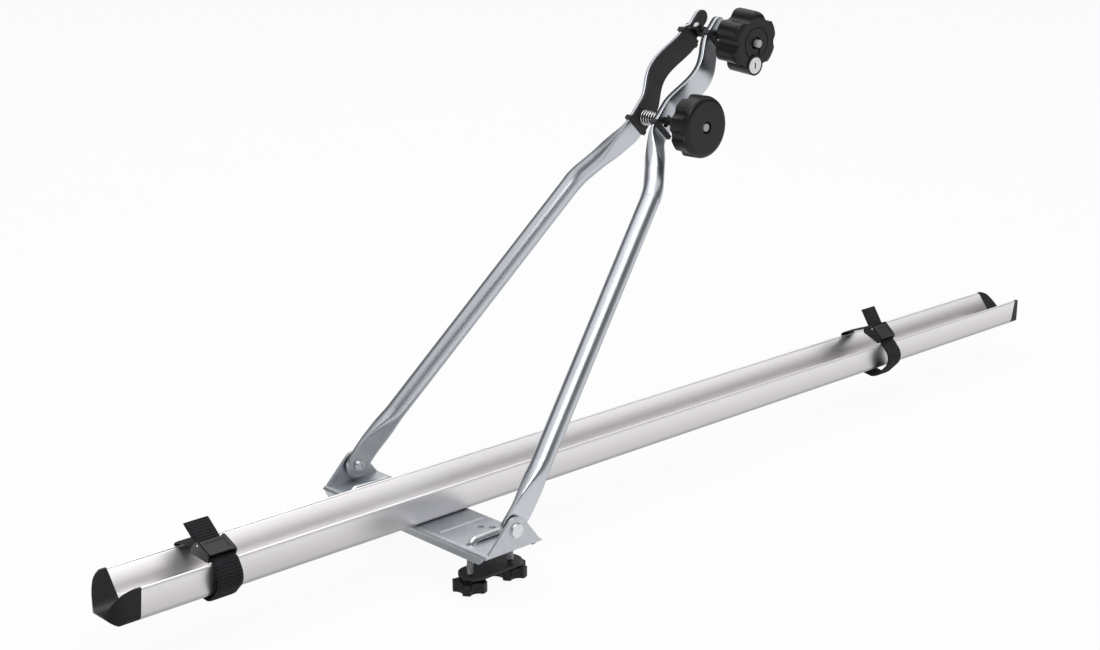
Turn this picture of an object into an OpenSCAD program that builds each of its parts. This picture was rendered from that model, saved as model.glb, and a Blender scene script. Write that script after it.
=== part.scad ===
// Roof mounted bike carrier: wheel tray, crossbar foot and folding clamp arm.
// Millimetres. X runs along the tray, Y across the car, Z up.
// The origin is the middle of the seat that rests on the crossbar.

/* [Wheel tray] */
// Length of the tray extrusion
tray_len = 1300; // [1150:10:1450]
// Length of tray behind the middle of the foot
tray_back = 330; // [290:5:380]
// Width over the two lips
tray_w = 57.8; // [56:0.2:62]
// Height of the extrusion
tray_h = 32.3; // [31:0.1:36]
// Wall thickness of the extrusion
tray_wall = 1.8; // [1.4:0.1:2.2]
// Width of the lip beside the channel
lip_w = 2.6; // [2:0.1:3.2]
// How far the lip's round edge stands out on each side
lip_bead = 0.15; // [0.1:0.05:0.25]
// Slope of the channel sides, from upright
channel_angle = 37; // [35:0.5:39]
// Radius of the channel floor
channel_r = 14; // [13:0.25:15]
// Radius of the lower outer corners
tray_corner_r = 7.5; // [6.5:0.25:8.5]
// Width over the centres of the lower outer corners
tray_foot_w = 36; // [35:0.25:37]
// Distance of each nut slot from the middle of the tray
slot_y = 13.75; // [13:0.05:14.2]
// Distance of the two inner webs from the middle of the tray
web_y = 8.2; // [7.6:0.1:8.6]

/* [End caps] */
// How far the cap's nose stands out at the middle
cap_nose = 26; // [20:0.5:32]
// Radius of the nose in plan
cap_plan_r = 31; // [30.5:0.5:38]
// Height of the brow's curve above the tray's lips
cap_brow = 0.5; // [0.2:0.1:2]
// Radius of the nose's lower front edge
cap_chin_r = 10; // [6:0.5:12]
// Depth of the lugs inside the tray
cap_lug_len = 14; // [8:1:24]

/* [Base plate] */
// Width of the plate along the tray
plate_w = 70; // [66:1:80]
// Length of the plate over the outside of its ears
plate_len = 244; // [236:1:260]
// Sheet thickness
plate_t = 3; // [2.5:0.1:3.4]
// Height of the turned-down edges
flange_h = 10; // [8:0.5:14]
// Inside radius of the long bends
bend_in_r = 1.2; // [0.8:0.1:2]
// Rounding of the ear tops
ear_r = 13; // [11:0.5:13]
// Height of the arm pivot above the plate
pivot_rise = 15.5; // [13.4:0.1:18]
// Offset of the arm pivot along the tray
pivot_x = 3; // [0:0.5:8]
// Distance of the pressed beads from the middle
bead_y = 47.5; // [44:0.5:54]
// Height of the pressed beads
bead_h = 0.8; // [0.5:0.1:1.2]
// Diameter of the spare holes
spare_hole_d = 6.5; // [5:0.1:8]

/* [Tray fixing] */
// Diameter of the tray screws
screw_d = 5; // [4:0.1:5]
// Diameter of the countersunk screw heads
screw_head_d = 9.2; // [8.5:0.1:9.6]
// Distance between the screws along the tray
screw_pitch = 44; // [36:1:48]
// Height of the slot nuts
slot_nut_h = 4; // [3:0.1:5]
// Length of the slot nuts
slot_nut_len = 60; // [56:1:70]

/* [Crossbar clamps] */
// Diameter of the U-bolt rod
ubolt_d = 6; // [5:0.1:6.6]
// Distance between the legs of a U-bolt
ubolt_span = 50; // [46:0.5:52]
// Distance of the U-bolts from the middle
ubolt_y = 89; // [80:0.5:94]
// Radius of the U-bolt bends, at the rod's middle
ubolt_bend_r = 7; // [6:0.25:8]
// Height of the crossbar held in the clamps
bar_h = 25.5; // [22:0.5:30]
// Width of the clamp plates
clamp_w = 30; // [24:0.5:34]
// Reach of a clamp plate past its U-bolt's legs
clamp_past = 10; // [9:0.5:14]
// Thickness of the clamp plates
clamp_t = 3; // [2:0.1:4]
// Diameter over the lobes of the star knobs
star_d = 33; // [30:0.5:36]
// Height of the lobed part of the star knobs
star_h = 10; // [8:0.5:12]
// Height of the collar above the lobes
star_collar_h = 3; // [2:0.25:4]
// Length of U-bolt thread left below the star knobs
leg_end = 0.5; // [0:0.25:3]

/* [Arm] */
// Lean of the arm from level, as it stands
arm_angle = 47.3; // [44:0.1:60]
// Diameter of the arm tubes
tube_d = 20; // [18:0.25:22]
// Wall of the arm tubes
tube_wall = 1.5; // [1.2:0.1:2]
// Extra diameter above the bend
tube_step = 0.5; // [0.2:0.1:0.8]
// Thickness of the flattened lower ends
tongue_t = 5; // [4:0.25:5.5]
// Rounding of the flattened lower ends
tongue_r = 13; // [11.5:0.25:13]
// Distance from the pivot to the bend
bend_s = 365; // [350:1:375]
// Distance of each tube from the middle at its bend
bend_y = 54; // [50:0.5:58]
// Radius of the bend
bend_r = 50; // [35:1:70]

/* [Jaws] */
// Distance from the pivot to the start of the jaws
jaw_s = 434; // [430:1:440]
// Distance of the jaw strips from the middle at their flats
jaw_y = 17.7; // [17:0.1:19]
// Width of the jaw strips
jaw_w = 26; // [25:0.5:28]
// Thickness of the jaw strips
jaw_t = 4; // [3.4:0.1:4.6]
// How far each jaw bows out around the bicycle's frame
jaw_bow = 14.3; // [11:0.1:16]
// Distance from the jaw's start to the start of the bow
bow_lead = 28; // [26:0.5:30]
// Length of the bow
bow_len = 85; // [80:1:90]
// Length of the plain tips past the bow
tip_len = 37; // [36:0.5:40]
// Width of the tab at the left jaw's tip
tab_w = 16; // [15:0.25:18]
// Thickness of the rubber liners
liner_t = 2.2; // [1.8:0.1:2.4]
// Wall of the liners' clip loops
loop_wall = 1.5; // [1.2:0.1:2]
// Length of the clip loops along the jaw
loop_len = 4.5; // [3:0.25:5]

/* [Clamp bolts] */
// Diameter of the lower and upper clamp bolts
bolt_d = 8; // [7:0.1:8.2]
// Distance from the jaw's start to the lower bolt
lower_bolt_lead = 13; // [13:0.5:15]
// Distance from the middle to the lower bolt's free end
lower_bolt_end = 73; // [71:0.5:78]
// Distance from the end of the bow to the swing pivot
swing_lead = 14; // [13.5:0.5:16]
// Distance from the middle to the swing pivot
swing_y = 7.6; // [7:0.1:8]
// Droop of the upper bolt from square
swing_tilt = 6; // [4:0.5:8]
// Length of the upper bolt from its pivot
swing_len = 86; // [84:0.5:90]
// Diameter of the upper bolt's eye
eye_d = 9.2; // [8.4:0.1:9.4]
// Diameter of the swing pin
swing_pin_d = 4; // [3.4:0.1:4.4]
// Wire of the jaw spring
spring_wire = 1.4; // [1.2:0.1:1.6]
// Outside diameter of the spring at the left jaw
spring_big_d = 16; // [15:0.25:18]
// Outside diameter of the spring at the right jaw
spring_small_d = 12; // [11.8:0.1:13]
// Number of coils
spring_coils = 7; // [5:1:8]

/* [Knobs] */
// Diameter of the lower knob
lower_knob_d = 62.5; // [59:0.5:65]
// Depth of the lower knob
lower_knob_h = 22.5; // [21.5:0.5:26]
// Rounding of the lower knob's front edge
lower_knob_edge = 6; // [4:0.25:7]
// Radius of the lower knob's finger recesses
lower_flute_r = 8.5; // [7.5:0.25:9.5]
// Diameter over the lobes of the upper knob
upper_knob_d = 63; // [61:0.5:64]
// Depth of the upper knob
upper_knob_h = 29; // [28:0.5:32]
// Rounding of the upper knob's front edge
upper_knob_edge = 7; // [5:0.25:8]
// Diameter between the hollows of the upper knob
upper_waist_d = 49; // [48:0.5:51]
// Radius of the upper knob's lobes
upper_lobe_r = 9.5; // [8.5:0.25:10]
// Radius of the knob hubs
hub_r = 9.5; // [9:0.25:10.5]
// Diameter of the brass thread inserts
insert_d = 13; // [12:0.25:14]
// Thickness of the washers behind the knobs
washer_t = 2; // [1.5:0.25:2.5]
// Distance of the lock from the upper knob's axis
lock_r = 22.6; // [22:0.1:23]
// Diameter of the lock's collar
lock_collar_d = 20.8; // [20:0.2:21.4]
// Diameter of the lock barrel
lock_barrel_d = 16.6; // [15.6:0.2:17]
// Diameter of the key plug
lock_plug_d = 11; // [10:0.2:12]

/* [Straps] */
// Width of the webbing
web_w = 25; // [20:0.5:26]
// Thickness of the webbing
web_t = 1.8; // [1.4:0.1:2]
// Place of the rear strap along the tray
rear_strap_x = -249; // [-280:1:-200]
// Place of the front strap along the tray
front_strap_x = 693; // [600:1:800]
// Slope of the rear buckle from level
rear_slope = 22; // [18:1:28]
// Slope of the front buckle from level
front_slope = 42; // [36:1:46]
// How far the rear strap hangs below the tray
rear_slack = 4; // [3:0.5:6]
// How far the front strap hangs below the tray
front_slack = 9; // [6:0.5:10]
// Width between the buckle's cheeks
buckle_w = 26.4; // [26.2:0.2:28]
// Thickness of the buckle's cheeks
cheek_t = 1.5; // [1.2:0.1:1.8]
// Diameter of the buckle's cam
cam_d = 4.6; // [4.4:0.1:4.8]

/* [Clearances] */
// Running clearance of pins, bolts and sleeves, on the radius
run_gap = 0.05; // [0.02:0.01:0.1]
// Loose clearance of bolts in sheet metal, on the radius
hole_gap = 0.2; // [0.15:0.05:0.4]
// Clearance of moving faces
face_gap = 0.3; // [0.25:0.05:0.35]
// Clearance of parts that rest on each other
seat_gap = 0.05; // [0.02:0.01:0.1]
// Clearance of plugged-in parts
plug_gap = 0.25; // [0.15:0.05:0.3]

/* [Hidden] */
$fn = 48;
cut = 1;
left = 1;
right = -1;

// Tray section, worked out from its sizes
tray_z = plate_t;
lip_out = tray_w / 2;
lip_in = lip_out - lip_w;
lip_r = lip_w / 2 + lip_bead;
lip_c = [lip_out - lip_w / 2, tray_h - lip_r];
foot_c = [tray_foot_w / 2, tray_corner_r];
channel_n = [-cos(channel_angle), sin(channel_angle)];
channel_cz = tray_h + (channel_r + lip_in * channel_n[0]) / channel_n[1];
channel_tan = [-channel_n[0] * channel_r, channel_cz - channel_n[1] * channel_r];
slot_w = screw_d + 2 * hole_gap;

// Base plate
ear_out = plate_len / 2;
ear_in = ear_out - plate_t;
pivot_z = plate_t + pivot_rise;
bend_out_r = bend_in_r + plate_t;
ear_foot = plate_w / 2 - 1;
bead_w = 5;
bead_len = plate_w - 16;
spare_holes = [[10, 64.5], [17, 73]];
pivot_bolt_r = bolt_d / 2;
pivot_head_r = 7.25;
pivot_head_h = 2;
head_chamfer = 0.6;

// Crossbar clamps
leg_r = ubolt_d / 2;
leg_x = ubolt_span / 2;
ubolt_top = plate_t + leg_r + seat_gap;
clamp_top = -bar_h;
clamp_bottom = clamp_top - clamp_t;
star_top = clamp_bottom - seat_gap;
star_bottom = star_top - star_collar_h - star_h;

// Arm pivots
bush_flange_r = 12;
bush_flange_t = 1.5;
bush_sleeve_r = 5.6;
tongue_y = ear_in - seat_gap - bush_flange_t - face_gap - tongue_t / 2;
pivot_nut_r = 5.6;
pivot_nut_h = 2.5;
tongue_in = tongue_y - tongue_t / 2;

// Arm path in the plane of the arm: s from the pivot, y from the middle
tongue_bend_s = 20;
tongue_blend = 8;
flat_end_s = 66;
jaw_blend = 6;
jaw_line_s = jaw_s - jaw_blend;
low_slope = (bend_y - tongue_y) / (bend_s - tongue_bend_s);
top_slope = (jaw_y - bend_y) / (jaw_line_s - bend_s);
low_turn = atan(low_slope);
top_turn = atan(top_slope);
bend_tangent = bend_r * tan((low_turn - top_turn) / 2);
flat_start_s = jaw_s - 45;
low_tube_r = tube_d / 2;
top_tube_r = low_tube_r + tube_step / 2;
bend_tube_r = top_tube_r + 0.03;
bow_s = jaw_s + bow_lead;
bow_end_s = bow_s + bow_len;
tip_s = bow_end_s + tip_len;
tab_start_s = bow_end_s + 8;
tab_blend = 5;
prong_s = tip_s - 10;
prong_corner = 8;
loft_sides = 24;
loft_inset = 0.04;
loft_reach = 3;

// Jaw bolts
lower_s = jaw_s + lower_bolt_lead;
bolt_r = bolt_d / 2;
swing_s = bow_end_s + swing_lead;
liner_in = jaw_y - jaw_t / 2 - liner_t;
strip_out = jaw_y + jaw_t / 2;
slot_half = bolt_r + 3 * hole_gap;
rock_room = 2.2;
fork_floor_s = swing_s - 4.5;
loop_low_s = jaw_s + 0.5;
loop_top_s = bow_end_s + 0.5;
stud_r = 3;
clevis_base_t = 1.2;
clevis_cheek_t = 3;
eye_half = bolt_r + 0.2;
clevis_cheek_r = 4.2;

// Knob places along their bolts
lower_recess = 0.8;
lower_face_y = lower_bolt_end + lower_recess;
lower_rear_y = lower_face_y - lower_knob_h;
upper_proud = 4;
upper_face_d = swing_len - upper_proud;
upper_rear_d = upper_face_d - upper_knob_h;
knob_hole_r = 6.2;
insert_len = 14;
insert_depth = 7;
lock_turn = 223;
lock_proud = 1.2;
lower_flutes = 8;
lower_flute_turn = 11;
upper_lobes = 6;

// Straps and cam buckles: u along a buckle towards the left, v away from the tray
rear = 0;
front = 1;
strap_x = [rear_strap_x, front_strap_x];
strap_slope = [rear_slope, front_slope];
strap_slack = [rear_slack, front_slack];
lip_corner = [lip_out, tray_h];
strap_gap = 0.3;
strap_off = strap_gap + web_t / 2;
strap_low = strap_off + 0.15;
strap_steps = 6;
lip_ease = 0.35;
foot_ease = 0.2;
near_foot_out = 3;
belly_out = 37.5;
belly_share = 0.9;
belly_drop = 0.6;
over_lip_lead = 2;
foot_turn_r = 12;
belly_turn_r = 15;
lip_turn_r = 4;
tail_turn_r = 14;
start_lean = [0.2, 1];
buckle_half = 11;
buckle_lead = 3.5;
buckle_base_t = 1.5;
base_end_u = 7;
bar_r = 2;
bar_u = 10.5;
bar_v = -4.4;
wrap_r = bar_r + strap_off;
cam_u = 6.5;
cam_v = strap_off + web_t / 2 + strap_gap + cam_d / 2;
cam_pin_r = 1;
lever_len = 17;
lever_t = 1.6;
lever_border = 3;
lever_inset = 0.4;
tail_u = 33.5;
tail_rise = 6;

echo(spring_self_gap = spring_self_gap());

// Small helpers

function unit(v) = v / norm(v);
function arc(c, r, from, to, steps) =
  [for (i = [0 : steps]) let (a = from + (to - from) * i / steps) c + r * [cos(a), sin(a)]];
function mirrored(points) = [for (i = [len(points) - 1 : -1 : 0]) [-points[i][0], points[i][1]]];
function mix(a, b, t) = a + (b - a) * t;
function clip(t) = max(0, min(1, t));
function ease(t) = let (u = clip(t)) u * u * (3 - 2 * u);
function ramp(t, w) = t < -w ? 0 : t > w ? t : pow(t + w, 2) / (4 * w);

// Point where the line from p touches the circle, on the chosen side
function tangent_point(p, c, r, side) =
  let (d = norm(p - c), base = atan2(p[1] - c[1], p[0] - c[0]), a = side * acos(r / d))
  c + r * [cos(base + a), sin(base + a)];

// Solid through rings of points that turn anticlockwise along the path
module loft(rings) {
  n = len(rings[0]);
  last = len(rings) - 1;
  sides = [for (i = [0 : last - 1], j = [0 : n - 1])
    let (a = i * n + j, b = i * n + (j + 1) % n)
    each [[a, a + n, b + n], [a, b + n, b]]];
  start_cap = [for (j = [0 : n - 1]) j];
  end_cap = [for (j = [n - 1 : -1 : 0]) last * n + j];
  polyhedron([for (ring = rings) each ring], concat(sides, [start_cap, end_cap]), convexity = 8);
}

// Bar of two dimensions with round ends along X
module slot_shape(length, r) {
  square([length - 2 * r, 2 * r], center = true);
  for (side = [-1, 1]) translate([side * (length / 2 - r), 0]) circle(r);
}

// Plane of the arm: X along the arm from the pivot, Y across, Z square to the arm
module arm_frame() {
  translate([pivot_x, 0, pivot_z]) rotate([0, -arm_angle, 0]) children();
}

// Axis of a cross bolt in the arm: Z points from the jaws to the knob's face
module bolt_frame(s, y) {
  arm_frame() translate([s, y, 0]) rotate([90, 0, 0]) children();
}

// Axis of the upper bolt: origin on the swing pin, Z towards the knob's face
module swing_frame() {
  arm_frame() translate([swing_s, swing_y, 0]) rotate([0, 0, -swing_tilt]) rotate([90, 0, 0]) children();
}

// Turns an outline in Y and Z into a solid of the given length along X
module along_x(length) {
  rotate([90, 0, 90]) linear_extrude(length, convexity = 6) children();
}

// Wheel tray

function tray_outline_half() =
  let (top = lip_corner, low = tangent_point(top, foot_c, tray_corner_r, -1))
  [[foot_c[0], 0], foot_c, low, top];

function chamber_half(wall) =
  let (
    inner_r = tray_corner_r - wall,
    top = lip_corner - [wall, 0],
    low = tangent_point(top, foot_c, inner_r, -1),
    turn = atan2(low[1] - foot_c[1], low[0] - foot_c[0]),
    side_dir = unit(top - low),
    v_point = channel_tan - wall * channel_n,
    v_dir = [sin(channel_angle), cos(channel_angle)],
    cross = side_dir[0] * v_dir[1] - side_dir[1] * v_dir[0],
    reach = ((v_point - low)[0] * v_dir[1] - (v_point - low)[1] * v_dir[0]) / cross,
    floor_r = channel_r + wall,
    web = web_y + wall / 2,
    web_turn = -acos(web / floor_r)
  )
  concat(
    [[web, wall]],
    arc(foot_c, inner_r, -90, turn, 6),
    [low + reach * side_dir],
    arc([0, channel_cz], floor_r, -channel_angle, web_turn, 5)
  );

module tray_outline() {
  half = tray_outline_half();
  polygon(concat(half, mirrored(half)));
  for (side = [-1, 1]) translate([side * foot_c[0], foot_c[1]]) circle(tray_corner_r);
}

module channel_outline() {
  rise = tray_h + cut;
  spread = lip_in + cut * tan(channel_angle);
  half = [[0, channel_cz], channel_tan, [spread, rise]];
  polygon(concat(half, mirrored(half)));
  translate([0, channel_cz]) circle(channel_r);
}

module wheel_tray() {
  color("gainsboro") translate([-tray_back, 0, tray_z]) along_x(tray_len) {
    difference() {
      tray_outline();
      channel_outline();
      for (side = [0, 1]) mirror([side, 0]) {
        polygon(chamber_half(tray_wall));
        translate([slot_y - slot_w / 2, -cut]) square([slot_w, tray_wall + 2 * cut]);
        translate([lip_c[0] - lip_w, lip_c[1]]) square([2 * lip_w, lip_r + cut]);
      }
    }
    for (side = [-1, 1]) translate([side * lip_c[0], lip_c[1]]) circle(lip_r);
  }
}

// Side view of an end cap, as [x, z]: a rounded chin under an elliptical brow
cap_steps = 14;
function cap_side() =
  let (brow_h = tray_h + cap_brow - cap_chin_r)
  concat(
    [[-cut, 0]],
    arc([cap_nose - cap_chin_r, cap_chin_r], cap_chin_r, -90, 0, cap_steps / 2),
    [for (i = [1 : cap_steps]) let (a = 90 * i / cap_steps)
      [cap_nose * cos(a), cap_chin_r + brow_h * sin(a)]],
    [[-cut, tray_h + cap_brow]]
  );

// End cap that points along +X from the tray's end
module end_cap() {
  difference() {
    intersection() {
      along_x(cap_nose) tray_outline();
      translate([cap_nose - cap_plan_r, 0, -cut]) cylinder(h = tray_h + 2 * cut, r = cap_plan_r);
      rotate([90, 0, 0]) linear_extrude(tray_w + 2 * cut, center = true) polygon(cap_side());
    }
    translate([-cut, 0, 0]) along_x(cap_nose + 2 * cut) channel_outline();
  }
  for (side = [0, 1]) mirror([0, side, 0])
    translate([-cap_lug_len, 0, 0]) along_x(cap_lug_len + cut) polygon(chamber_half(tray_wall + plug_gap));
}

module end_cap_rear() {
  color("dimgray") translate([-tray_back, 0, tray_z]) mirror([1, 0, 0]) end_cap();
}

module end_cap_front() {
  color("dimgray") translate([tray_len - tray_back, 0, tray_z]) end_cap();
}

// Base plate and the parts that fix the tray to it

module plate_section() {
  mid = plate_w / 2 - bend_out_r;
  translate([-mid, 0]) square([2 * mid, plate_t]);
  for (side = [0, 1]) mirror([side, 0]) {
    translate([plate_w / 2 - plate_t, plate_t - flange_h]) square([plate_t, flange_h - bend_out_r]);
    intersection() {
      translate([mid, plate_t - bend_out_r]) difference() {
        circle(bend_out_r);
        circle(bend_in_r);
      }
      translate([mid, plate_t - bend_out_r]) square(bend_out_r);
    }
  }
}

module ear_shape() {
  top = [pivot_x, pivot_z];
  foot_rear = [-ear_foot, 0];
  foot_front = [ear_foot, 0];
  polygon([foot_rear, foot_front, tangent_point(foot_front, top, ear_r, 1), top,
    tangent_point(foot_rear, top, ear_r, -1)]);
  translate(top) circle(ear_r);
}

module bead_shape() {
  slope = bead_h;
  polygon([[-bead_w / 2, 0], [bead_w / 2, 0], [bead_w / 2 - slope, bead_h], [-bead_w / 2 + slope, bead_h]]);
}

module flange_end_cut() {
  taper = 8;
  low = plate_t - flange_h - cut;
  rotate([90, 0, 90]) linear_extrude(plate_w + 2 * cut, center = true)
    polygon([[ear_in - taper, low], [ear_out + cut, low], [ear_out + cut, 0], [ear_in, 0]]);
}

module base_plate() {
  ubolt_slot = ubolt_bend_r + 2 * leg_r + 4 * hole_gap;
  color("silver") difference() {
    union() {
      rotate([90, 0, 0]) linear_extrude(2 * ear_out, center = true) plate_section();
      for (side = [0, 1]) mirror([0, side, 0]) {
        translate([0, ear_out, 0]) rotate([90, 0, 0]) linear_extrude(plate_t) ear_shape();
        translate([-bead_len / 2, bead_y, plate_t]) along_x(bead_len) bead_shape();
      }
    }
    for (side = [0, 1]) mirror([0, side, 0]) {
      flange_end_cut();
      translate([pivot_x, ear_out + cut, pivot_z]) rotate([90, 0, 0])
        cylinder(h = plate_t + 2 * cut, r = pivot_bolt_r + run_gap);
      for (hole = spare_holes) translate([hole[0], hole[1], -cut])
        cylinder(h = plate_t + 2 * cut, d = spare_hole_d);
      for (end = [0, 1]) mirror([end, 0, 0]) {
        translate([leg_x + leg_r + 2 * hole_gap - ubolt_slot / 2, ubolt_y, -cut])
          linear_extrude(plate_t + 2 * cut) slot_shape(ubolt_slot, leg_r + 2 * hole_gap);
        translate([screw_pitch / 2, slot_y, 0]) {
          translate([0, 0, -cut]) cylinder(h = plate_t + 2 * cut, r = screw_d / 2 + hole_gap);
          translate([0, 0, -seat_gap]) countersink(hole_gap);
        }
      }
    }
  }
}

// Cone of a screw head, wide end down
module countersink(gap) {
  cone = (screw_head_d - screw_d) / 2;
  translate([0, 0, -cut]) cylinder(h = cut, r = screw_head_d / 2 + gap);
  cylinder(h = cone, r1 = screw_head_d / 2 + gap, r2 = screw_d / 2 + gap);
}

module slot_nut(side) {
  inner = web_y + tray_wall / 2 + plug_gap;
  outer = foot_c[0];
  color("lightsteelblue") difference() {
    translate([-slot_nut_len / 2, side > 0 ? inner : -outer, tray_z + tray_wall])
      cube([slot_nut_len, outer - inner, slot_nut_h]);
    for (end = [-1, 1]) translate([end * screw_pitch / 2, side * slot_y, tray_z])
      cylinder(h = tray_wall + slot_nut_h + cut, r = screw_d / 2 + run_gap);
  }
}

module slot_nut_left() { slot_nut(left); }
module slot_nut_right() { slot_nut(right); }

module tray_screw(end, side) {
  cone = (screw_head_d - screw_d) / 2;
  socket_w = 3;
  socket_depth = 1.6;
  color("lightsteelblue") translate([end * screw_pitch / 2, side * slot_y, 0]) difference() {
    union() {
      cylinder(h = cone, r1 = screw_head_d / 2, r2 = screw_d / 2);
      cylinder(h = tray_z + tray_wall + slot_nut_h, d = screw_d);
    }
    translate([0, 0, -cut]) cylinder(h = socket_depth + cut, d = socket_w / cos(30), $fn = 6);
  }
}

module tray_screw_rear_left() { tray_screw(-1, left); }
module tray_screw_rear_right() { tray_screw(-1, right); }
module tray_screw_front_left() { tray_screw(1, left); }
module tray_screw_front_right() { tray_screw(1, right); }

// Crossbar clamps

module u_bolt(side) {
  leg_top = ubolt_top - ubolt_bend_r;
  span_half = leg_x - ubolt_bend_r;
  color("lightsteelblue") translate([0, side * ubolt_y, 0]) {
    translate([-span_half, 0, ubolt_top]) rotate([0, 90, 0]) cylinder(h = 2 * span_half, r = leg_r);
    for (end = [0, 1]) mirror([end, 0, 0]) {
      translate([span_half, 0, leg_top]) rotate([90, 0, 0]) rotate_extrude(angle = 90)
        translate([ubolt_bend_r, 0]) circle(leg_r);
      translate([leg_x, 0, star_bottom - leg_end]) cylinder(h = leg_top - star_bottom + leg_end, r = leg_r);
    }
  }
}

module u_bolt_left() { u_bolt(left); }
module u_bolt_right() { u_bolt(right); }

module clamp_plate(side) {
  color("#26262b") translate([0, side * ubolt_y, clamp_bottom]) difference() {
    linear_extrude(clamp_t) slot_shape(ubolt_span + 2 * clamp_past, clamp_w / 2);
    for (end = [-1, 1]) translate([end * leg_x, 0, -cut])
      cylinder(h = clamp_t + 2 * cut, r = leg_r + hole_gap);
  }
}

module clamp_plate_left() { clamp_plate(left); }
module clamp_plate_right() { clamp_plate(right); }

module star_knob(end, side) {
  lobes = 5;
  step = 360 / lobes;
  flute_r = 8;
  flute_at = star_d / 2 + 3.5;
  pocket_at = star_d / 2 - 3.4;
  pocket_r = 1.4;
  pocket_depth = 2.5;
  collar_r = 9.5;
  color("#1c1c1e") translate([end * leg_x, side * ubolt_y, star_bottom]) difference() {
    union() {
      linear_extrude(star_h) difference() {
        circle(d = star_d);
        for (i = [0 : lobes - 1]) rotate(step * (i + 0.5)) translate([flute_at, 0]) circle(flute_r);
      }
      cylinder(h = star_h + star_collar_h, r = collar_r);
    }
    translate([0, 0, -cut]) cylinder(h = star_h + star_collar_h + 2 * cut, r = leg_r + run_gap);
    for (i = [0 : lobes - 1]) rotate(step * i) translate([pocket_at, 0, star_h - pocket_depth])
      cylinder(h = pocket_depth + cut, r = pocket_r);
  }
}

module star_knob_rear_left() { star_knob(-1, left); }
module star_knob_front_left() { star_knob(1, left); }
module star_knob_rear_right() { star_knob(-1, right); }
module star_knob_front_right() { star_knob(1, right); }

// Arm pivots: Z of this frame points outwards through the ear
module pivot_frame(side) {
  translate([pivot_x, 0, pivot_z]) rotate([side * -90, 0, 0]) children();
}

module pivot_bolt(side) {
  tip = tongue_in - face_gap - pivot_nut_h;
  color("whitesmoke") pivot_frame(side) {
    translate([0, 0, tip]) cylinder(h = ear_out - tip + seat_gap, r = pivot_bolt_r);
    translate([0, 0, ear_out + seat_gap])
      cylinder(h = pivot_head_h, r1 = pivot_head_r, r2 = pivot_head_r - head_chamfer);
  }
}

module pivot_bolt_left() { pivot_bolt(left); }
module pivot_bolt_right() { pivot_bolt(right); }

module pivot_bush(side) {
  flange_z = ear_in - seat_gap - bush_flange_t;
  color("#202022") pivot_frame(side) difference() {
    union() {
      translate([0, 0, flange_z]) cylinder(h = bush_flange_t, r = bush_flange_r);
      translate([0, 0, tongue_in]) cylinder(h = flange_z - tongue_in + cut / 2, r = bush_sleeve_r);
    }
    translate([0, 0, tongue_in - cut]) cylinder(h = ear_in - tongue_in + cut, r = pivot_bolt_r + run_gap);
  }
}

module pivot_bush_left() { pivot_bush(left); }
module pivot_bush_right() { pivot_bush(right); }

module pivot_nut(side) {
  socket_w = 5;
  cap_t = 1;
  nut_z = tongue_in - face_gap - pivot_nut_h;
  color("whitesmoke") pivot_frame(side) difference() {
    translate([0, 0, nut_z - cap_t - seat_gap])
      cylinder(h = pivot_nut_h + cap_t + seat_gap, r1 = pivot_nut_r - 1, r2 = pivot_nut_r);
    translate([0, 0, nut_z - seat_gap]) cylinder(h = pivot_nut_h + cut, r = pivot_bolt_r + run_gap);
    translate([0, 0, nut_z - cap_t - cut])
      cylinder(h = cap_t + cut + seat_gap, d = socket_w / cos(30), $fn = 6);
  }
}

module pivot_nut_left() { pivot_nut(left); }
module pivot_nut_right() { pivot_nut(right); }

// Arm tubes: flattened tongue, tube, bend, tube and flattened jaw

// Middle line of the arm: distance from the middle plane at s
function arm_y(s) =
  tongue_y
  + low_slope * ramp(s - tongue_bend_s, tongue_blend)
  + (top_slope - low_slope) * max(0, s - bend_s)
  - top_slope * ramp(s - jaw_line_s, jaw_blend)
  + jaw_bow * pow(sin(180 * clip((s - bow_s) / bow_len)), 1.5);

function arm_dir(s) = let (h = 0.5) unit([2 * h, arm_y(s + h) - arm_y(s - h)]);
function arm_point(s, off) = let (d = arm_dir(s)) [s, arm_y(s)] + off * [-d[1], d[0]];

// Cross-section of the arm, half width square to the arm and half thickness in its plane
function superellipse(c, power) = sign(c) * pow(abs(c), 2 / power);
function arm_ring(s, wide, thick, power) =
  [for (k = [0 : loft_sides - 1])
    let (a = 360 * (k + 0.5) / loft_sides, p = arm_point(s, thick * superellipse(cos(a), power)))
    [p[0], p[1], wide * superellipse(sin(a), power)]];

flat_power = 7;

function tongue_half(s) = s < 0 ? sqrt(max(pow(tongue_r, 2) - s * s, 0.04)) : tongue_r;

// Lower end: round tongue that swells into the tube
function tongue_rings() =
  let (
    round_end = [for (i = [0 : 6]) -tongue_r * cos(90 * i / 6)],
    swell = [for (i = [0 : 10]) mix(tongue_bend_s - tongue_blend, flat_end_s, i / 10)],
    stations = concat(round_end, swell, [flat_end_s + loft_reach])
  )
  [for (s = stations)
    let (round = ease((s - tongue_bend_s + tongue_blend) / (flat_end_s - tongue_bend_s + tongue_blend)))
    arm_ring(s, mix(tongue_half(s), low_tube_r - loft_inset, round),
      mix(tongue_t / 2, low_tube_r - loft_inset, round), mix(flat_power, 2, round))];

// Half width of the jaw strip at s: the left tip narrows to a tab, the right one has round corners
function tab_half(s) =
  let (narrow = mix(jaw_w / 2, tab_w / 2, ease((s - tab_start_s) / tab_blend)), past = s - tip_s + tab_w / 2)
  past > 0 ? sqrt(max(pow(tab_w / 2, 2) - past * past, 0.04)) : narrow;
function prong_half(s) =
  let (past = s - prong_s + prong_corner)
  past > 0 ? jaw_w / 2 - prong_corner + sqrt(max(pow(prong_corner, 2) - past * past, 0)) : jaw_w / 2;

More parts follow.
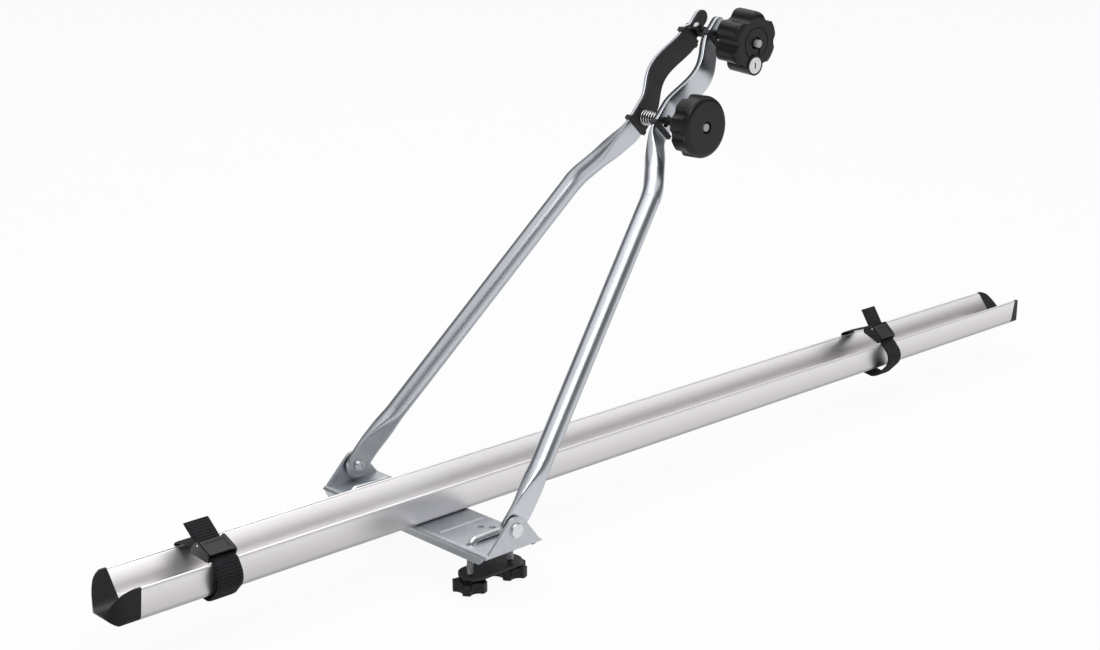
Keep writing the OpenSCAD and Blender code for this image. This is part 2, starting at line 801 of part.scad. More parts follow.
function jaw_stations(tip, corner) =
  concat(
    [for (i = [0 : 2]) jaw_s + bow_lead * i / 2],
    [for (i = [1 : 16]) bow_s + bow_len * i / 16],
    [for (i = [1 : 4]) mix(bow_end_s, tip - corner, i / 4)],
    [for (i = [1 : 6]) tip - corner + corner * sin(90 * i / 6)]
  );

// Upper end: the tube is pressed flat and bowed into a jaw
function jaw_rings(side) =
  let (
    press = [for (i = [0 : 9]) mix(flat_start_s, jaw_s, i / 10)],
    stations = concat([flat_start_s - loft_reach], press,
      side > 0 ? jaw_stations(tip_s, tab_w / 2) : jaw_stations(prong_s, prong_corner))
  )
  [for (s = stations)
    let (flat = ease((s - flat_start_s) / (jaw_s - flat_start_s)),
      half = side > 0 ? tab_half(s) : prong_half(s))
    arm_ring(s, mix(top_tube_r - loft_inset, half, flat), mix(top_tube_r - loft_inset, jaw_t / 2, flat),
      mix(2, flat_power, flat))];

// Straight tube and bend, hollow, for the left side
module arm_tube() {
  low_from = arm_point(flat_end_s + loft_reach / 2, 0);
  bend_at = [bend_s, bend_y];
  top_to = arm_point(flat_start_s - loft_reach / 2, 0);
  low_len = norm(bend_at - low_from) - bend_tangent;
  top_len = norm(top_to - bend_at) - bend_tangent;
  turn = low_turn - top_turn;
  plug = 6;
  translate([low_from[0], low_from[1], 0]) rotate([0, 0, low_turn]) rotate([0, 90, 0]) difference() {
    cylinder(h = low_len + cut, r = low_tube_r);
    translate([0, 0, plug]) cylinder(h = low_len - 2 * plug, r = low_tube_r - tube_wall);
  }
  translate([bend_s, bend_y, 0]) rotate([0, 0, low_turn]) translate([-bend_tangent, -bend_r, 0])
    rotate([0, 0, 90 - turn]) rotate_extrude(angle = turn) translate([bend_r, 0]) circle(bend_tube_r);
  translate([bend_s, bend_y, 0]) rotate([0, 0, top_turn]) translate([bend_tangent - cut, 0, 0])
    rotate([0, 90, 0]) cylinder(h = top_len + cut, r = top_tube_r);
}

module arm(side) {
  color("silver") arm_frame() mirror([0, side > 0 ? 0 : 1, 0]) difference() {
    union() {
      loft(tongue_rings());
      arm_tube();
      loft(jaw_rings(side));
    }
    translate([0, ear_in, 0]) rotate([90, 0, 0])
      cylinder(h = ear_in - tongue_in + cut, r = bush_sleeve_r + 2 * run_gap);
    if (side > 0) {
      translate([lower_s, strip_out + cut, 0]) rotate([90, 0, 0])
        cylinder(h = jaw_t + 2 * cut, r = bolt_r + run_gap);
      translate([swing_s, strip_out + cut, 0]) rotate([90, 0, 0])
        cylinder(h = jaw_t + 2 * cut, r = stud_r + run_gap);
    } else {
      translate([lower_s, strip_out + cut, 0]) rotate([90, 0, 0])
        linear_extrude(jaw_t + 2 * cut) slot_shape(2 * (slot_half + rock_room), slot_half);
      fork_cut(jaw_t + 2 * cut, strip_out + cut);
    }
  }
}

// Open slot of the right jaw that lets the upper bolt swing out
module fork_cut(depth, from_y) {
  translate([fork_floor_s, from_y, 0]) rotate([90, 0, 0]) linear_extrude(depth) {
    circle(slot_half);
    translate([0, -slot_half]) square([tip_s - fork_floor_s + cut, 2 * slot_half]);
  }
}

module arm_left() { arm(left); }
module arm_right() { arm(right); }

// Rubber liners with clip loops

function liner_stations(tip) =
  concat([jaw_s, jaw_s + bow_lead / 2],
    [for (i = [0 : 16]) bow_s + bow_len * i / 16],
    [tip]);

module liner_strip(tip) {
  near = [for (s = liner_stations(tip)) arm_point(s, -jaw_t / 2)];
  far = [for (s = liner_stations(tip)) arm_point(s, -jaw_t / 2 - liner_t)];
  linear_extrude(jaw_w, center = true, convexity = 6)
    polygon(concat(near, [for (i = [len(far) - 1 : -1 : 0]) far[i]]));
}

module clip_loop(s) {
  wide = jaw_w + 2 * plug_gap;
  thick = jaw_t + plug_gap;
  low = jaw_y - jaw_t / 2;
  difference() {
    translate([s, low - liner_t, -wide / 2 - loop_wall])
      cube([loop_len, thick + liner_t + loop_wall, wide + 2 * loop_wall]);
    translate([s - cut, low, -wide / 2]) cube([loop_len + 2 * cut, thick, wide]);
  }
}

// Outline of the jaw face, in s and across the strip, that trims a liner
module liner_trim(side) {
  if (side > 0) {
    translate([jaw_s - cut, -jaw_w / 2 - cut]) square([tab_start_s - jaw_s + cut, jaw_w + 2 * cut]);
    translate([jaw_s, -tab_w / 2]) square([tip_s - tab_w / 2 - jaw_s, tab_w]);
    translate([tip_s - tab_w / 2, 0]) circle(d = tab_w);
  } else {
    translate([jaw_s - cut, -jaw_w / 2 - cut])
      square([prong_s - prong_corner - jaw_s + cut, jaw_w + 2 * cut]);
    translate([jaw_s, -jaw_w / 2 + prong_corner]) square([prong_s - jaw_s, jaw_w - 2 * prong_corner]);
    for (edge = [-1, 1]) translate([prong_s - prong_corner, edge * (jaw_w / 2 - prong_corner)])
      circle(prong_corner);
  }
}

module jaw_liner(side) {
  color("#2a2a2c") arm_frame() mirror([0, side > 0 ? 0 : 1, 0]) {
    difference() {
      intersection() {
        liner_strip(side > 0 ? tip_s : prong_s);
        translate([0, strip_out + jaw_bow, 0]) rotate([90, 0, 0])
          linear_extrude(strip_out + jaw_bow) liner_trim(side);
      }
      if (side > 0) {
        translate([lower_s, jaw_y, 0]) rotate([90, 0, 0]) cylinder(h = jaw_y, r = bolt_r + run_gap);
        translate([swing_s, jaw_y, 0]) rotate([90, 0, 0]) cylinder(h = jaw_y, r = stud_r + run_gap);
      } else {
        translate([lower_s, jaw_y, 0]) rotate([90, 0, 0])
          linear_extrude(jaw_y) slot_shape(2 * (slot_half + rock_room), slot_half);
        fork_cut(jaw_y, jaw_y);
      }
    }
    clip_loop(loop_low_s);
    clip_loop(loop_top_s);
  }
}

module jaw_liner_left() { jaw_liner(left); }
module jaw_liner_right() { jaw_liner(right); }

// Lower clamp bolt, spring and knob

module lower_bolt() {
  head_r = 7;
  head_h = 4.5;
  dome_at = 1.2 * head_h;
  color("#3a3a3c") bolt_frame(lower_s, strip_out + seat_gap) {
    cylinder(h = strip_out + seat_gap + lower_bolt_end, r = bolt_r);
    intersection() {
      translate([0, 0, -head_h]) cylinder(h = head_h, r = head_r);
      translate([0, 0, dome_at]) sphere(r = norm([head_r, dome_at]));
    }
  }
}

// Middle line of the spring's wire: straight ends square to the liners, coils between
spring_rings = 8;
spring_len = 2 * (liner_in - seat_gap);
function spring_r(t) = (mix(spring_big_d, spring_small_d, t) - spring_wire) / 2;
function spring_path() =
  let (
    count = spring_coils * spring_rings,
    lead = 1.6 * spring_wire,
    run = spring_len - 2 * lead,
    coil = [for (i = [0 : count]) let (t = i / count, a = 360 * i / spring_rings)
      [spring_r(t) * cos(a), spring_r(t) * sin(a), lead + run * t]],
    first = [for (z = [0, spring_wire]) [spring_r(0) * cos(-30), spring_r(0) * sin(-30), z]],
    past = 360 * spring_coils + 30,
    final = [for (z = [spring_len - spring_wire, spring_len])
      [spring_r(1) * cos(past), spring_r(1) * sin(past), z]]
  )
  concat(first, coil, final);

// Least gap between turns of the spring, measured on its points
function spring_self_gap() =
  let (p = spring_path(), skip = spring_rings - 2)
  min([for (i = [0 : len(p) - 1], j = [0 : len(p) - 1]) if (j - i > skip) norm(p[i] - p[j])]) - spring_wire;

function tube_ring(path, i, r, sides) =
  let (
    before = path[max(i - 1, 0)],
    after = path[min(i + 1, len(path) - 1)],
    ahead = i == 0 || i == len(path) - 1 ? [0, 0, 1] : unit(after - before),
    outward = unit([path[i][0], path[i][1], 0]),
    across = unit(cross(ahead, outward)),
    up = cross(across, ahead)
  )
  [for (k = [0 : sides - 1]) let (a = 360 * k / sides) path[i] + r * (cos(a) * up + sin(a) * across)];

module jaw_spring() {
  path = spring_path();
  color("lightgray") bolt_frame(lower_s, liner_in - seat_gap)
    loft([for (i = [0 : len(path) - 1]) tube_ring(path, i, spring_wire / 2, 6)]);
}

module knob_washer() {
  washer_r = 10;
  color("#3a3a3c") translate([0, 0, -washer_t - seat_gap]) difference() {
    cylinder(h = washer_t, r = washer_r);
    translate([0, 0, -cut]) cylinder(h = washer_t + 2 * cut, r = bolt_r + run_gap);
  }
}

module knob_insert(face_h) {
  color("darkgoldenrod") translate([0, 0, face_h - insert_depth - insert_len]) difference() {
    cylinder(h = insert_len, r = insert_d / 2 - seat_gap);
    translate([0, 0, -cut]) cylinder(h = insert_len + 2 * cut, r = bolt_r + run_gap);
  }
}

// Round knob body: rounded front edge, hollow back with a hub and ribs
module knob_body(r, h, edge) {
  back_edge = 2;
  wall = 9;
  face_t = 9;
  pocket_depth = h - face_t;
  rib_t = 2.4;
  ribs = 5;
  difference() {
    rotate_extrude() {
      translate([0, back_edge]) square([r, h - edge - back_edge]);
      square([r - back_edge, h - edge]);
      square([r - edge, h]);
      translate([r - edge, h - edge]) circle(edge);
      translate([r - back_edge, back_edge]) circle(back_edge);
    }
    difference() {
      translate([0, 0, -cut]) cylinder(h = pocket_depth + cut, r = r - wall);
      translate([0, 0, -cut]) cylinder(h = pocket_depth + cut, r = hub_r);
      for (i = [0 : ribs - 1]) rotate(360 * (i + 0.5) / ribs) translate([0, -rib_t / 2, 1])
        cube([r, rib_t, pocket_depth]);
    }
    translate([0, 0, -cut]) cylinder(h = h + 2 * cut, r = bolt_r + hole_gap);
    translate([0, 0, h - insert_depth - insert_len]) cylinder(h = insert_len, r = insert_d / 2);
    translate([0, 0, h - insert_depth]) cylinder(h = insert_depth + cut, r = knob_hole_r);
  }
}

// Knob with finger recesses that end in a round front
module lower_knob() {
  r = lower_knob_d / 2;
  flute_at = r + 0.6 * lower_flute_r;
  reach = lower_knob_h - lower_flute_r;
  color("#2b2b2d") bolt_frame(lower_s, -lower_rear_y) difference() {
    knob_body(r, lower_knob_h, lower_knob_edge);
    for (i = [0 : lower_flutes - 1]) rotate(lower_flute_turn + 360 * i / lower_flutes)
      translate([flute_at, 0, -cut]) {
        cylinder(h = reach + cut, r = lower_flute_r);
        translate([0, 0, reach + cut]) sphere(r = lower_flute_r);
      }
  }
}

module lower_washer() { bolt_frame(lower_s, -lower_rear_y) knob_washer(); }
module lower_insert() { bolt_frame(lower_s, -lower_rear_y) knob_insert(lower_knob_h); }

// Swinging upper bolt and its clevis on the left jaw

module swing_clevis() {
  base_y = liner_in - seat_gap;
  base_s = 6;
  stud_past = 6;
  stud_len = strip_out - base_y + stud_past + cut;
  half = eye_half + seat_gap * 2;
  color("#3a3a3c") arm_frame() translate([swing_s, 0, 0]) {
    translate([0, base_y - cut, 0]) rotate([-90, 0, 0]) cylinder(h = stud_len, r = stud_r);
    translate([-base_s, base_y - clevis_base_t, -half - clevis_cheek_t])
      cube([2 * base_s, clevis_base_t, 2 * (half + clevis_cheek_t)]);
    for (side = [0, 1]) mirror([0, 0, side]) translate([0, 0, half]) difference() {
      union() {
        translate([0, swing_y, 0]) cylinder(h = clevis_cheek_t, r = clevis_cheek_r);
        translate([-clevis_cheek_r, swing_y, 0])
          cube([2 * clevis_cheek_r, base_y - swing_y, clevis_cheek_t]);
      }
      translate([0, swing_y, -cut]) cylinder(h = clevis_cheek_t + 2 * cut, r = swing_pin_d / 2 + run_gap);
    }
  }
}

module clevis_nut() {
  nut_w = 10;
  nut_h = 5;
  color("#3a3a3c") arm_frame() translate([swing_s, strip_out + seat_gap, 0]) rotate([-90, 0, 0])
    difference() {
      cylinder(h = nut_h, d = nut_w / cos(30), $fn = 6);
      translate([0, 0, -cut]) cylinder(h = nut_h + 2 * cut, r = stud_r + run_gap);
    }
}

module swing_pin() {
  reach = eye_half + 2 * seat_gap + clevis_cheek_t;
  head_h = 1;
  color("lightgray") arm_frame() translate([swing_s, swing_y, 0]) {
    cylinder(h = 2 * reach, d = swing_pin_d, center = true);
    for (side = [0, 1]) mirror([0, 0, side]) translate([0, 0, reach + seat_gap])
      cylinder(h = head_h, d = swing_pin_d + 1.6);
    for (side = [0, 1]) mirror([0, 0, side]) translate([0, 0, reach - cut])
      cylinder(h = cut + head_h, d = swing_pin_d);
  }
}

module swing_bolt() {
  color("#3a3a3c") swing_frame() difference() {
    union() {
      rotate([90, 0, 0]) cylinder(h = 2 * eye_half, d = eye_d, center = true);
      cylinder(h = swing_len, r = bolt_r);
    }
    rotate([90, 0, 0]) cylinder(h = 2 * eye_half + 2 * cut, r = swing_pin_d / 2 + run_gap, center = true);
  }
}

// Upper knob with its lock

module at_lock() { rotate(lock_turn) translate([lock_r, 0, 0]) children(); }

// Outline of the upper knob: round lobes joined by round hollows that touch them
lobe_steps = 7;
function lobed_outline() =
  let (
    step = 360 / upper_lobes,
    lobe_at = upper_knob_d / 2 - upper_lobe_r,
    gap = upper_waist_d / 2 - lobe_at * cos(step / 2),
    side = lobe_at * sin(step / 2),
    hollow_r = (gap * gap + side * side - upper_lobe_r * upper_lobe_r) / (2 * (upper_lobe_r - gap)),
    hollow_at = upper_waist_d / 2 + hollow_r,
    meet = atan2(hollow_at * sin(step / 2), hollow_at * cos(step / 2) - lobe_at)
  )
  [for (i = [0 : upper_lobes - 1])
    let (
      a = i * step,
      lobe = arc(lobe_at * [cos(a), sin(a)], upper_lobe_r, a - meet, a + meet, lobe_steps),
      hollow_c = hollow_at * [cos(a + step / 2), sin(a + step / 2)],
      hollow = arc(hollow_c, hollow_r, a + meet + 180, a + step - meet + 180, lobe_steps)
    )
    each concat(lobe, [for (k = [1 : lobe_steps - 1]) hollow[k]])];

module upper_knob() {
  r = upper_knob_d / 2;
  h = upper_knob_h;
  ring_r = 15.8;
  groove = 1;
  neck_w = 12;
  neck_depth = 1.2;
  bore_depth = 20;
  lock_bore = lock_barrel_d / 2 + seat_gap;
  color("#2b2b2d") swing_frame() translate([0, 0, upper_rear_d]) difference() {
    union() {
      intersection() {
        knob_body(r, h, upper_knob_edge);
        rotate(lock_turn) translate([0, 0, -cut]) linear_extrude(h + 2 * cut) polygon(lobed_outline());
      }
      at_lock() cylinder(h = h + lock_proud, d = lock_collar_d);
    }
    translate([0, 0, -cut]) cylinder(h = h + 2 * cut, r = bolt_r + hole_gap);
    difference() {
      translate([0, 0, h - groove]) cylinder(h = groove + cut, r = ring_r + groove / 2);
      translate([0, 0, h - groove - cut]) cylinder(h = groove + 3 * cut, r = ring_r - groove / 2);
      rotate(lock_turn) translate([0, -neck_w / 2, 0]) cube([r, neck_w, 2 * h]);
    }
    rotate(lock_turn) translate([0, -neck_w / 2, h - neck_depth])
      cube([lock_r - lock_collar_d / 2 + cut, neck_w, neck_depth + cut]);
    at_lock() translate([0, 0, h - bore_depth]) cylinder(h = bore_depth + 2 * lock_proud, r = lock_bore);
  }
}

module upper_washer() { swing_frame() translate([0, 0, upper_rear_d]) knob_washer(); }
module upper_insert() { swing_frame() translate([0, 0, upper_rear_d]) knob_insert(upper_knob_h); }

module lock_barrel() {
  barrel_h = 19;
  floor_t = 3;
  color("whitesmoke") swing_frame() translate([0, 0, upper_face_d + lock_proud - barrel_h]) at_lock()
    difference() {
      cylinder(h = barrel_h, d = lock_barrel_d);
      translate([0, 0, floor_t]) cylinder(h = barrel_h, r = lock_plug_d / 2 + run_gap);
    }
}

module lock_plug() {
  plug_h = 16;
  key_w = 1.6;
  key_h = 6.4;
  key_depth = 10;
  key_turn = 52;
  color("whitesmoke") swing_frame() translate([0, 0, upper_face_d + lock_proud - plug_h + seat_gap]) at_lock()
    rotate(-lock_turn) difference() {
      cylinder(h = plug_h, d = lock_plug_d);
      rotate(key_turn) translate([-key_h / 2, -key_w / 2, plug_h - key_depth])
        cube([key_h, key_w, key_depth + cut]);
    }
}

// Straps with cam buckles

// Middle of a buckle: its webbing lies on the near lip and runs up at the buckle's slope
function buckle_dir(end) = [cos(strap_slope[end]), sin(strap_slope[end])];
function buckle_up(end) = [-sin(strap_slope[end]), cos(strap_slope[end])];
function buckle_mid(end) =
  [-lip_c[0], lip_c[1]] + lip_r * buckle_up(end) + (buckle_half + buckle_lead) * buckle_dir(end);
function buckle_point(end, u, v) = buckle_mid(end) + u * buckle_dir(end) + v * buckle_up(end);

// Corners of the webbing's route, as [y, z, radius] from the tray's foot
function route_corner(p, r) = [p[0], p[1], r];
function strap_route(end) =
  let (
    start = buckle_point(end, bar_u, bar_v) + wrap_r * start_lean,
    far_lip = lip_corner + [lip_bead + strap_low + lip_ease, strap_off + lip_ease],
    far_foot = [foot_c[0] + tray_corner_r + foot_ease, -strap_low],
    near_foot = [-foot_c[0] - near_foot_out, -strap_off - strap_slack[end]],
    belly = [-belly_out - belly_share * strap_slack[end], tray_h / 2 - belly_drop],
    over_lip = buckle_point(end, -buckle_half - buckle_lead - over_lip_lead, strap_off + foot_ease),
    leave = buckle_point(end, buckle_half, strap_off),
    tail = buckle_point(end, tail_u, strap_off + tail_rise)
  )
  [
    route_corner(start, 0),
    route_corner(far_lip, lip_r + strap_off),
    route_corner(far_foot, tray_corner_r + strap_low),
    route_corner(near_foot, foot_turn_r),
    route_corner(belly, belly_turn_r),
    route_corner(over_lip, lip_turn_r),
    route_corner(leave, tail_turn_r),
    route_corner(tail, 0)
  ];

// Smooth line through corners, with a round at each
function rounded_route(c, steps) =
  [for (i = [0 : len(c) - 1])
    let (p = [c[i][0], c[i][1]])
    each (i == 0 || i == len(c) - 1) ? [p] :
      let (
        a = unit([c[i - 1][0], c[i - 1][1]] - p),
        b = unit([c[i + 1][0], c[i + 1][1]] - p),
        half = acos(max(-1, min(1, a * b))) / 2,
        back = c[i][2] / tan(half),
        centre = p + unit(a + b) * c[i][2] / sin(half),
        from = p + a * back - centre,
        to = p + b * back - centre
      )
      [for (k = [0 : steps]) centre + c[i][2] * unit(mix(from, to, ease_turn(k / steps, from, to)))]];

// Share of the chord that gives even turns along a round
function ease_turn(t, from, to) =
  let (turn = acos(max(-1, min(1, unit(from) * unit(to)))), a = turn * t)
  turn < 0.01 ? t : sin(a) / (sin(a) + sin(turn - a));

function path_normal(p, i) =
  let (d = unit(p[min(i + 1, len(p) - 1)] - p[max(i - 1, 0)])) [-d[1], d[0]];

// Band of webbing along a path, as an outline
function band(p, t) =
  concat(
    [for (i = [0 : len(p) - 1]) p[i] + path_normal(p, i) * t / 2],
    [for (i = [len(p) - 1 : -1 : 0]) p[i] - path_normal(p, i) * t / 2]
  );

module strap(end) {
  color("#1b1d26") translate([strap_x[end] - web_w / 2, 0, tray_z]) along_x(web_w)
    polygon(band(rounded_route(strap_route(end), strap_steps), web_t));
}

module strap_rear() { strap(rear); }
module strap_front() { strap(front); }

// Frame of a buckle: X across the webbing, Y along u, Z along v
module buckle_place(end) {
  mid = buckle_mid(end);
  translate([strap_x[end], mid[0], tray_z + mid[1]]) rotate([strap_slope[end], 0, 0]) children();
}

// Rod across the buckle at the cam's axis
module cam_rod(length, r) {
  translate([0, cam_u, cam_v]) rotate([0, 90, 0]) cylinder(h = length, r = r, center = true);
}

module cheek_shape() {
  rim = 1.5;
  top_v = cam_v + rim;
  low_r = 2;
  top_r = 3;
  eye_r = bar_r + rim;
  steps = 5;
  polygon(concat(
    arc([-buckle_half + low_r, low_r - buckle_base_t], low_r, 180, 270, steps),
    arc([bar_u, bar_v], eye_r, 250, 360, steps),
    arc([bar_u - 2, top_v - top_r], top_r, 15, 90, steps),
    arc([-buckle_half + top_r, top_v - top_r], top_r, 90, 180, steps)
  ));
}

module buckle_frame(end) {
  color("#2e2f33") buckle_place(end) {
    translate([-buckle_w / 2, -buckle_half, -buckle_base_t])
      cube([buckle_w, base_end_u + buckle_half, buckle_base_t]);
    translate([0, bar_u, bar_v]) rotate([0, 90, 0]) cylinder(h = buckle_w, r = bar_r, center = true);
    difference() {
      for (side = [0, 1]) mirror([side, 0, 0]) translate([buckle_w / 2, 0, 0]) along_x(cheek_t) cheek_shape();
      cam_rod(buckle_w + 4 * cheek_t, cam_pin_r + run_gap);
    }
  }
}

module buckle_frame_rear() { buckle_frame(rear); }
module buckle_frame_front() { buckle_frame(front); }

module buckle_lever(end) {
  width = buckle_w - 2 * face_gap;
  top_v = cam_v + cam_d / 2;
  inset_len = lever_len - cam_d / 2 - lever_border;
  color("#2e2f33") buckle_place(end) difference() {
    union() {
      cam_rod(width, cam_d / 2);
      translate([-width / 2, cam_u - lever_len, top_v - lever_t]) cube([width, lever_len, lever_t]);
    }
    cam_rod(width + 2 * cut, cam_pin_r + run_gap);
    translate([-width / 2 + lever_border, cam_u - lever_len + lever_border, top_v - lever_inset])
      cube([width - 2 * lever_border, inset_len, lever_inset + cut]);
  }
}

module buckle_lever_rear() { buckle_lever(rear); }
module buckle_lever_front() { buckle_lever(front); }

module buckle_pin(end) {
  color("lightgray") buckle_place(end) cam_rod(buckle_w + 2 * cheek_t, cam_pin_r);
}

module buckle_pin_rear() { buckle_pin(rear); }
module buckle_pin_front() { buckle_pin(front); }

base_plate();
wheel_tray();
end_cap_rear();
end_cap_front();
slot_nut_left();
slot_nut_right();
tray_screw_rear_left();
tray_screw_rear_right();
tray_screw_front_left();
tray_screw_front_right();
u_bolt_left();
u_bolt_right();
clamp_plate_left();
clamp_plate_right();
star_knob_rear_left();
star_knob_front_left();
star_knob_rear_right();
star_knob_front_right();
pivot_bolt_left();
pivot_bolt_right();
pivot_bush_left();
pivot_bush_right();
pivot_nut_left();
pivot_nut_right();
arm_left();
arm_right();
jaw_liner_left();
jaw_liner_right();
lower_bolt();
jaw_spring();
lower_washer();
lower_knob();
lower_insert();
swing_clevis();
clevis_nut();
swing_pin();
swing_bolt();
upper_washer();
upper_knob();
upper_insert();
lock_barrel();
lock_plug();
strap_rear();
strap_front();
buckle_frame_rear();
buckle_frame_front();
buckle_lever_rear();
buckle_lever_front();
buckle_pin_rear();
buckle_pin_front();
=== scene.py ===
"""Looks of the roof mounted bike carrier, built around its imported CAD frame."""
import math

import bpy
import numpy as np
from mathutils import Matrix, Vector


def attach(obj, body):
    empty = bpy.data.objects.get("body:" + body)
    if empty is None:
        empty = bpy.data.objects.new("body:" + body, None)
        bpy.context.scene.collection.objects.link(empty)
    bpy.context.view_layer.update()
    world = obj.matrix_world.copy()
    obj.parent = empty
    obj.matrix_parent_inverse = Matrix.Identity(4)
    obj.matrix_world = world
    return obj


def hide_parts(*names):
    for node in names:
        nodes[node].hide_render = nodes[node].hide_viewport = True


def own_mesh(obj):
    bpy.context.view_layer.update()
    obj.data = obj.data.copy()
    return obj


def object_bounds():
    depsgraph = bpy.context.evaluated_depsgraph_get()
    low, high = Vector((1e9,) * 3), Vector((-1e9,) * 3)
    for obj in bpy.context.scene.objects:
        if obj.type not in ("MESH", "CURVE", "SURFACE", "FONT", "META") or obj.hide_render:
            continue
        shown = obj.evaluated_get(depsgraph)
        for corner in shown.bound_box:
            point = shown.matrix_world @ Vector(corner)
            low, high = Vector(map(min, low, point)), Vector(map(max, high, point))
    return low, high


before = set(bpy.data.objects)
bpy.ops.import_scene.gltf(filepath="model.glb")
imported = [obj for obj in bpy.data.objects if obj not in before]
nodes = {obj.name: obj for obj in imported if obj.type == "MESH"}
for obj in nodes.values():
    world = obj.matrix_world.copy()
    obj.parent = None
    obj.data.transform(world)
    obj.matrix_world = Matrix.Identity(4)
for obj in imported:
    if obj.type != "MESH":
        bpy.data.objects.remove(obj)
cad_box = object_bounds()

MM = 0.001
TINY = 1e-20

# Sizes shared with the CAD source, in millimetres
ARM_ANGLE = math.radians(47.3)
PIVOT = (3.0, 18.5)              # X and Z of the arm's pivot
LOWER_S = 447.0                  # the lower bolt's place along the arm
LINER_IN = 13.5                  # from the middle to a jaw liner's inner face
SWING_TILT = math.radians(6)     # the upper bolt's lean along the arm
TRAY_Z = 3.0                     # underside of the tray
FOOT_Y, FOOT_R = 18.0, 7.5       # the tray's rounded bottom corners
LIP_OUT, LIP_TOP = 28.9, 32.3
LIP_W, LIP_BEAD = 2.6, 0.15
CHANNEL_R = 14.0
CHANNEL_LEAN = math.radians(37)  # of the channel walls' normals above level
SEAT_GAP = 0.05
SPRING_WIRE, SPRING_BIG, SPRING_SMALL, SPRING_COILS = 1.4, 16.0, 12.0, 7
SPRING_LEAD = 1.6                # height that each end takes up, in wire thicknesses
SPRING_END_TURN = math.radians(30)

# Route of the webbing, as in the CAD source, in millimetres
WEB_W, WEB_T = 25.0, 1.8
STRAP_X = {"rear": -249.0, "front": 693.0}
STRAP_SLOPE = {"rear": math.radians(22), "front": math.radians(42)}
STRAP_SLACK = {"rear": 4.0, "front": 9.0}
STRAP_GAP, STRAP_LOW_GAP = 0.3, 0.15
LIP_EASE, FOOT_EASE = 0.35, 0.2
NEAR_FOOT_OUT = 3
BELLY_OUT, BELLY_SHARE, BELLY_DROP = 37.5, 0.9, 0.6
OVER_LIP_LEAD = 2
FOOT_TURN_R, BELLY_TURN_R, LIP_TURN_R, TAIL_TURN_R = 12, 15, 4, 14
START_LEAN = np.array([0.2, 1.0])
BUCKLE_HALF, BUCKLE_LEAD = 11.0, 3.5
BAR_U, BAR_V, BAR_R = 10.5, -4.4, 2.0
TAIL_U, TAIL_RISE = 33.5, 6.0

# Turn of the sewn end round the buckle's bar, in degrees
WRAP_FROM, WRAP_TO, WRAP_STEP = 255, 85, -12

# Patterns of the webbing and the threads, in millimetres
RIB_PITCH, RIB_DEPTH = 2.9, 0.3
TWILL_PITCH, YARN_PITCH = 1.05, 0.7
U_BOLT_PITCH, JAW_BOLT_PITCH = 1.0, 1.25
THREAD_DEPTH = 0.25              # for a pitch of 1
U_BOLT_THREAD_TOP = -12          # height that the U-bolts' threads end at
BARE_TIP = 4.0                   # bare metal at the tips of the black bolts

# Shading of the CAD meshes
ROUND_ANGLE = math.radians(32)   # faces that meet below this angle are shaded as one
SAME_SPOT = 0.002                # grid in millimetres that joins corners into one
ON_WALL = 0.06                   # points this close to a wall, in millimetres, are on it
WALL_FOOT, WALL_LIP = math.radians(25), math.radians(47)  # lean of the channel walls' normals
WALL_BULGE = math.radians(4)     # tilt of the outer walls' normals at their ends

# Floor, in metres: the camera and reflections see it mostly as white glow.
# FLOOR_SHADE is painted shade: it takes away from the glow in reflections, so that the floor reflects darker
# under the part, over this range of distances from the middle plane
FLOOR_HALF, FLOOR_DROP = 9.0, 0.001
FLOOR_GLOW = 0.94
FLOOR_SHADE_Y, FLOOR_SHADE = (0.04, 0.15), (0.6, 0.0)

# Grey levels of the surround from straight down (0) to straight up (1)
SURROUND = [(0.0, 0.9), (0.47, 0.8), (0.52, 0.32), (0.61, 0.13), (0.735, 0.11), (0.78, 0.95), (1.0, 1.0)]
SURROUND_BLUE = 1.01             # blue against red and green
# Strength of the surround as a lamp and in reflections
SURROUND_STRENGTH = (0.55, 1.0)
# Towards plus X the levels come lower down: over this range of X, BAND_LIFT is added to the height
BAND_LIFT_X, BAND_LIFT = (0.46, 0.96), (-0.12, 0.18)

# Lamps: name, place, aim, width in metres and power in watts
LAMPS = [
    ("key", (-0.9, -2.1, 3.1), (0.2, 0, 0.2), 2.0, 34),
    ("top", (0.5, 0.4, 3.2), (0.3, 0, 0.1), 2.6, 34),
    ("rim", (1.9, 2.4, 1.7), (0.3, 0, 0.25), 2.0, 8),
]

# Camera at the photo's viewing angle
CAMERA_PLACE = (-1.0207, -1.2420, 0.6497)
CAMERA_HEADING, CAMERA_PITCH = math.radians(46.42), math.radians(16.04)
CAMERA_SENSOR, CAMERA_LENS, CAMERA_REACH = 36.0, 58.59, 60

ALONG = Vector((math.cos(ARM_ANGLE), 0, math.sin(ARM_ANGLE)))
SQUARE = Vector((-math.sin(ARM_ANGLE), 0, math.cos(ARM_ANGLE)))
ACROSS = Vector((0, 1, 0))
UP = Vector((0, 0, 1))
SWING_AXIS = ALONG * math.sin(SWING_TILT) + ACROSS * math.cos(SWING_TILT)


def arm_place(s, y, n):
    """Point of the arm's own frame, given in millimetres, in metres of the CAD frame."""
    return (Vector((PIVOT[0], 0, PIVOT[1])) + ALONG * s + ACROSS * y + SQUARE * n) * MM


def turned(angle):
    """Direction at an angle, in two parts."""
    return np.array([math.cos(angle), math.sin(angle)])


# Materials

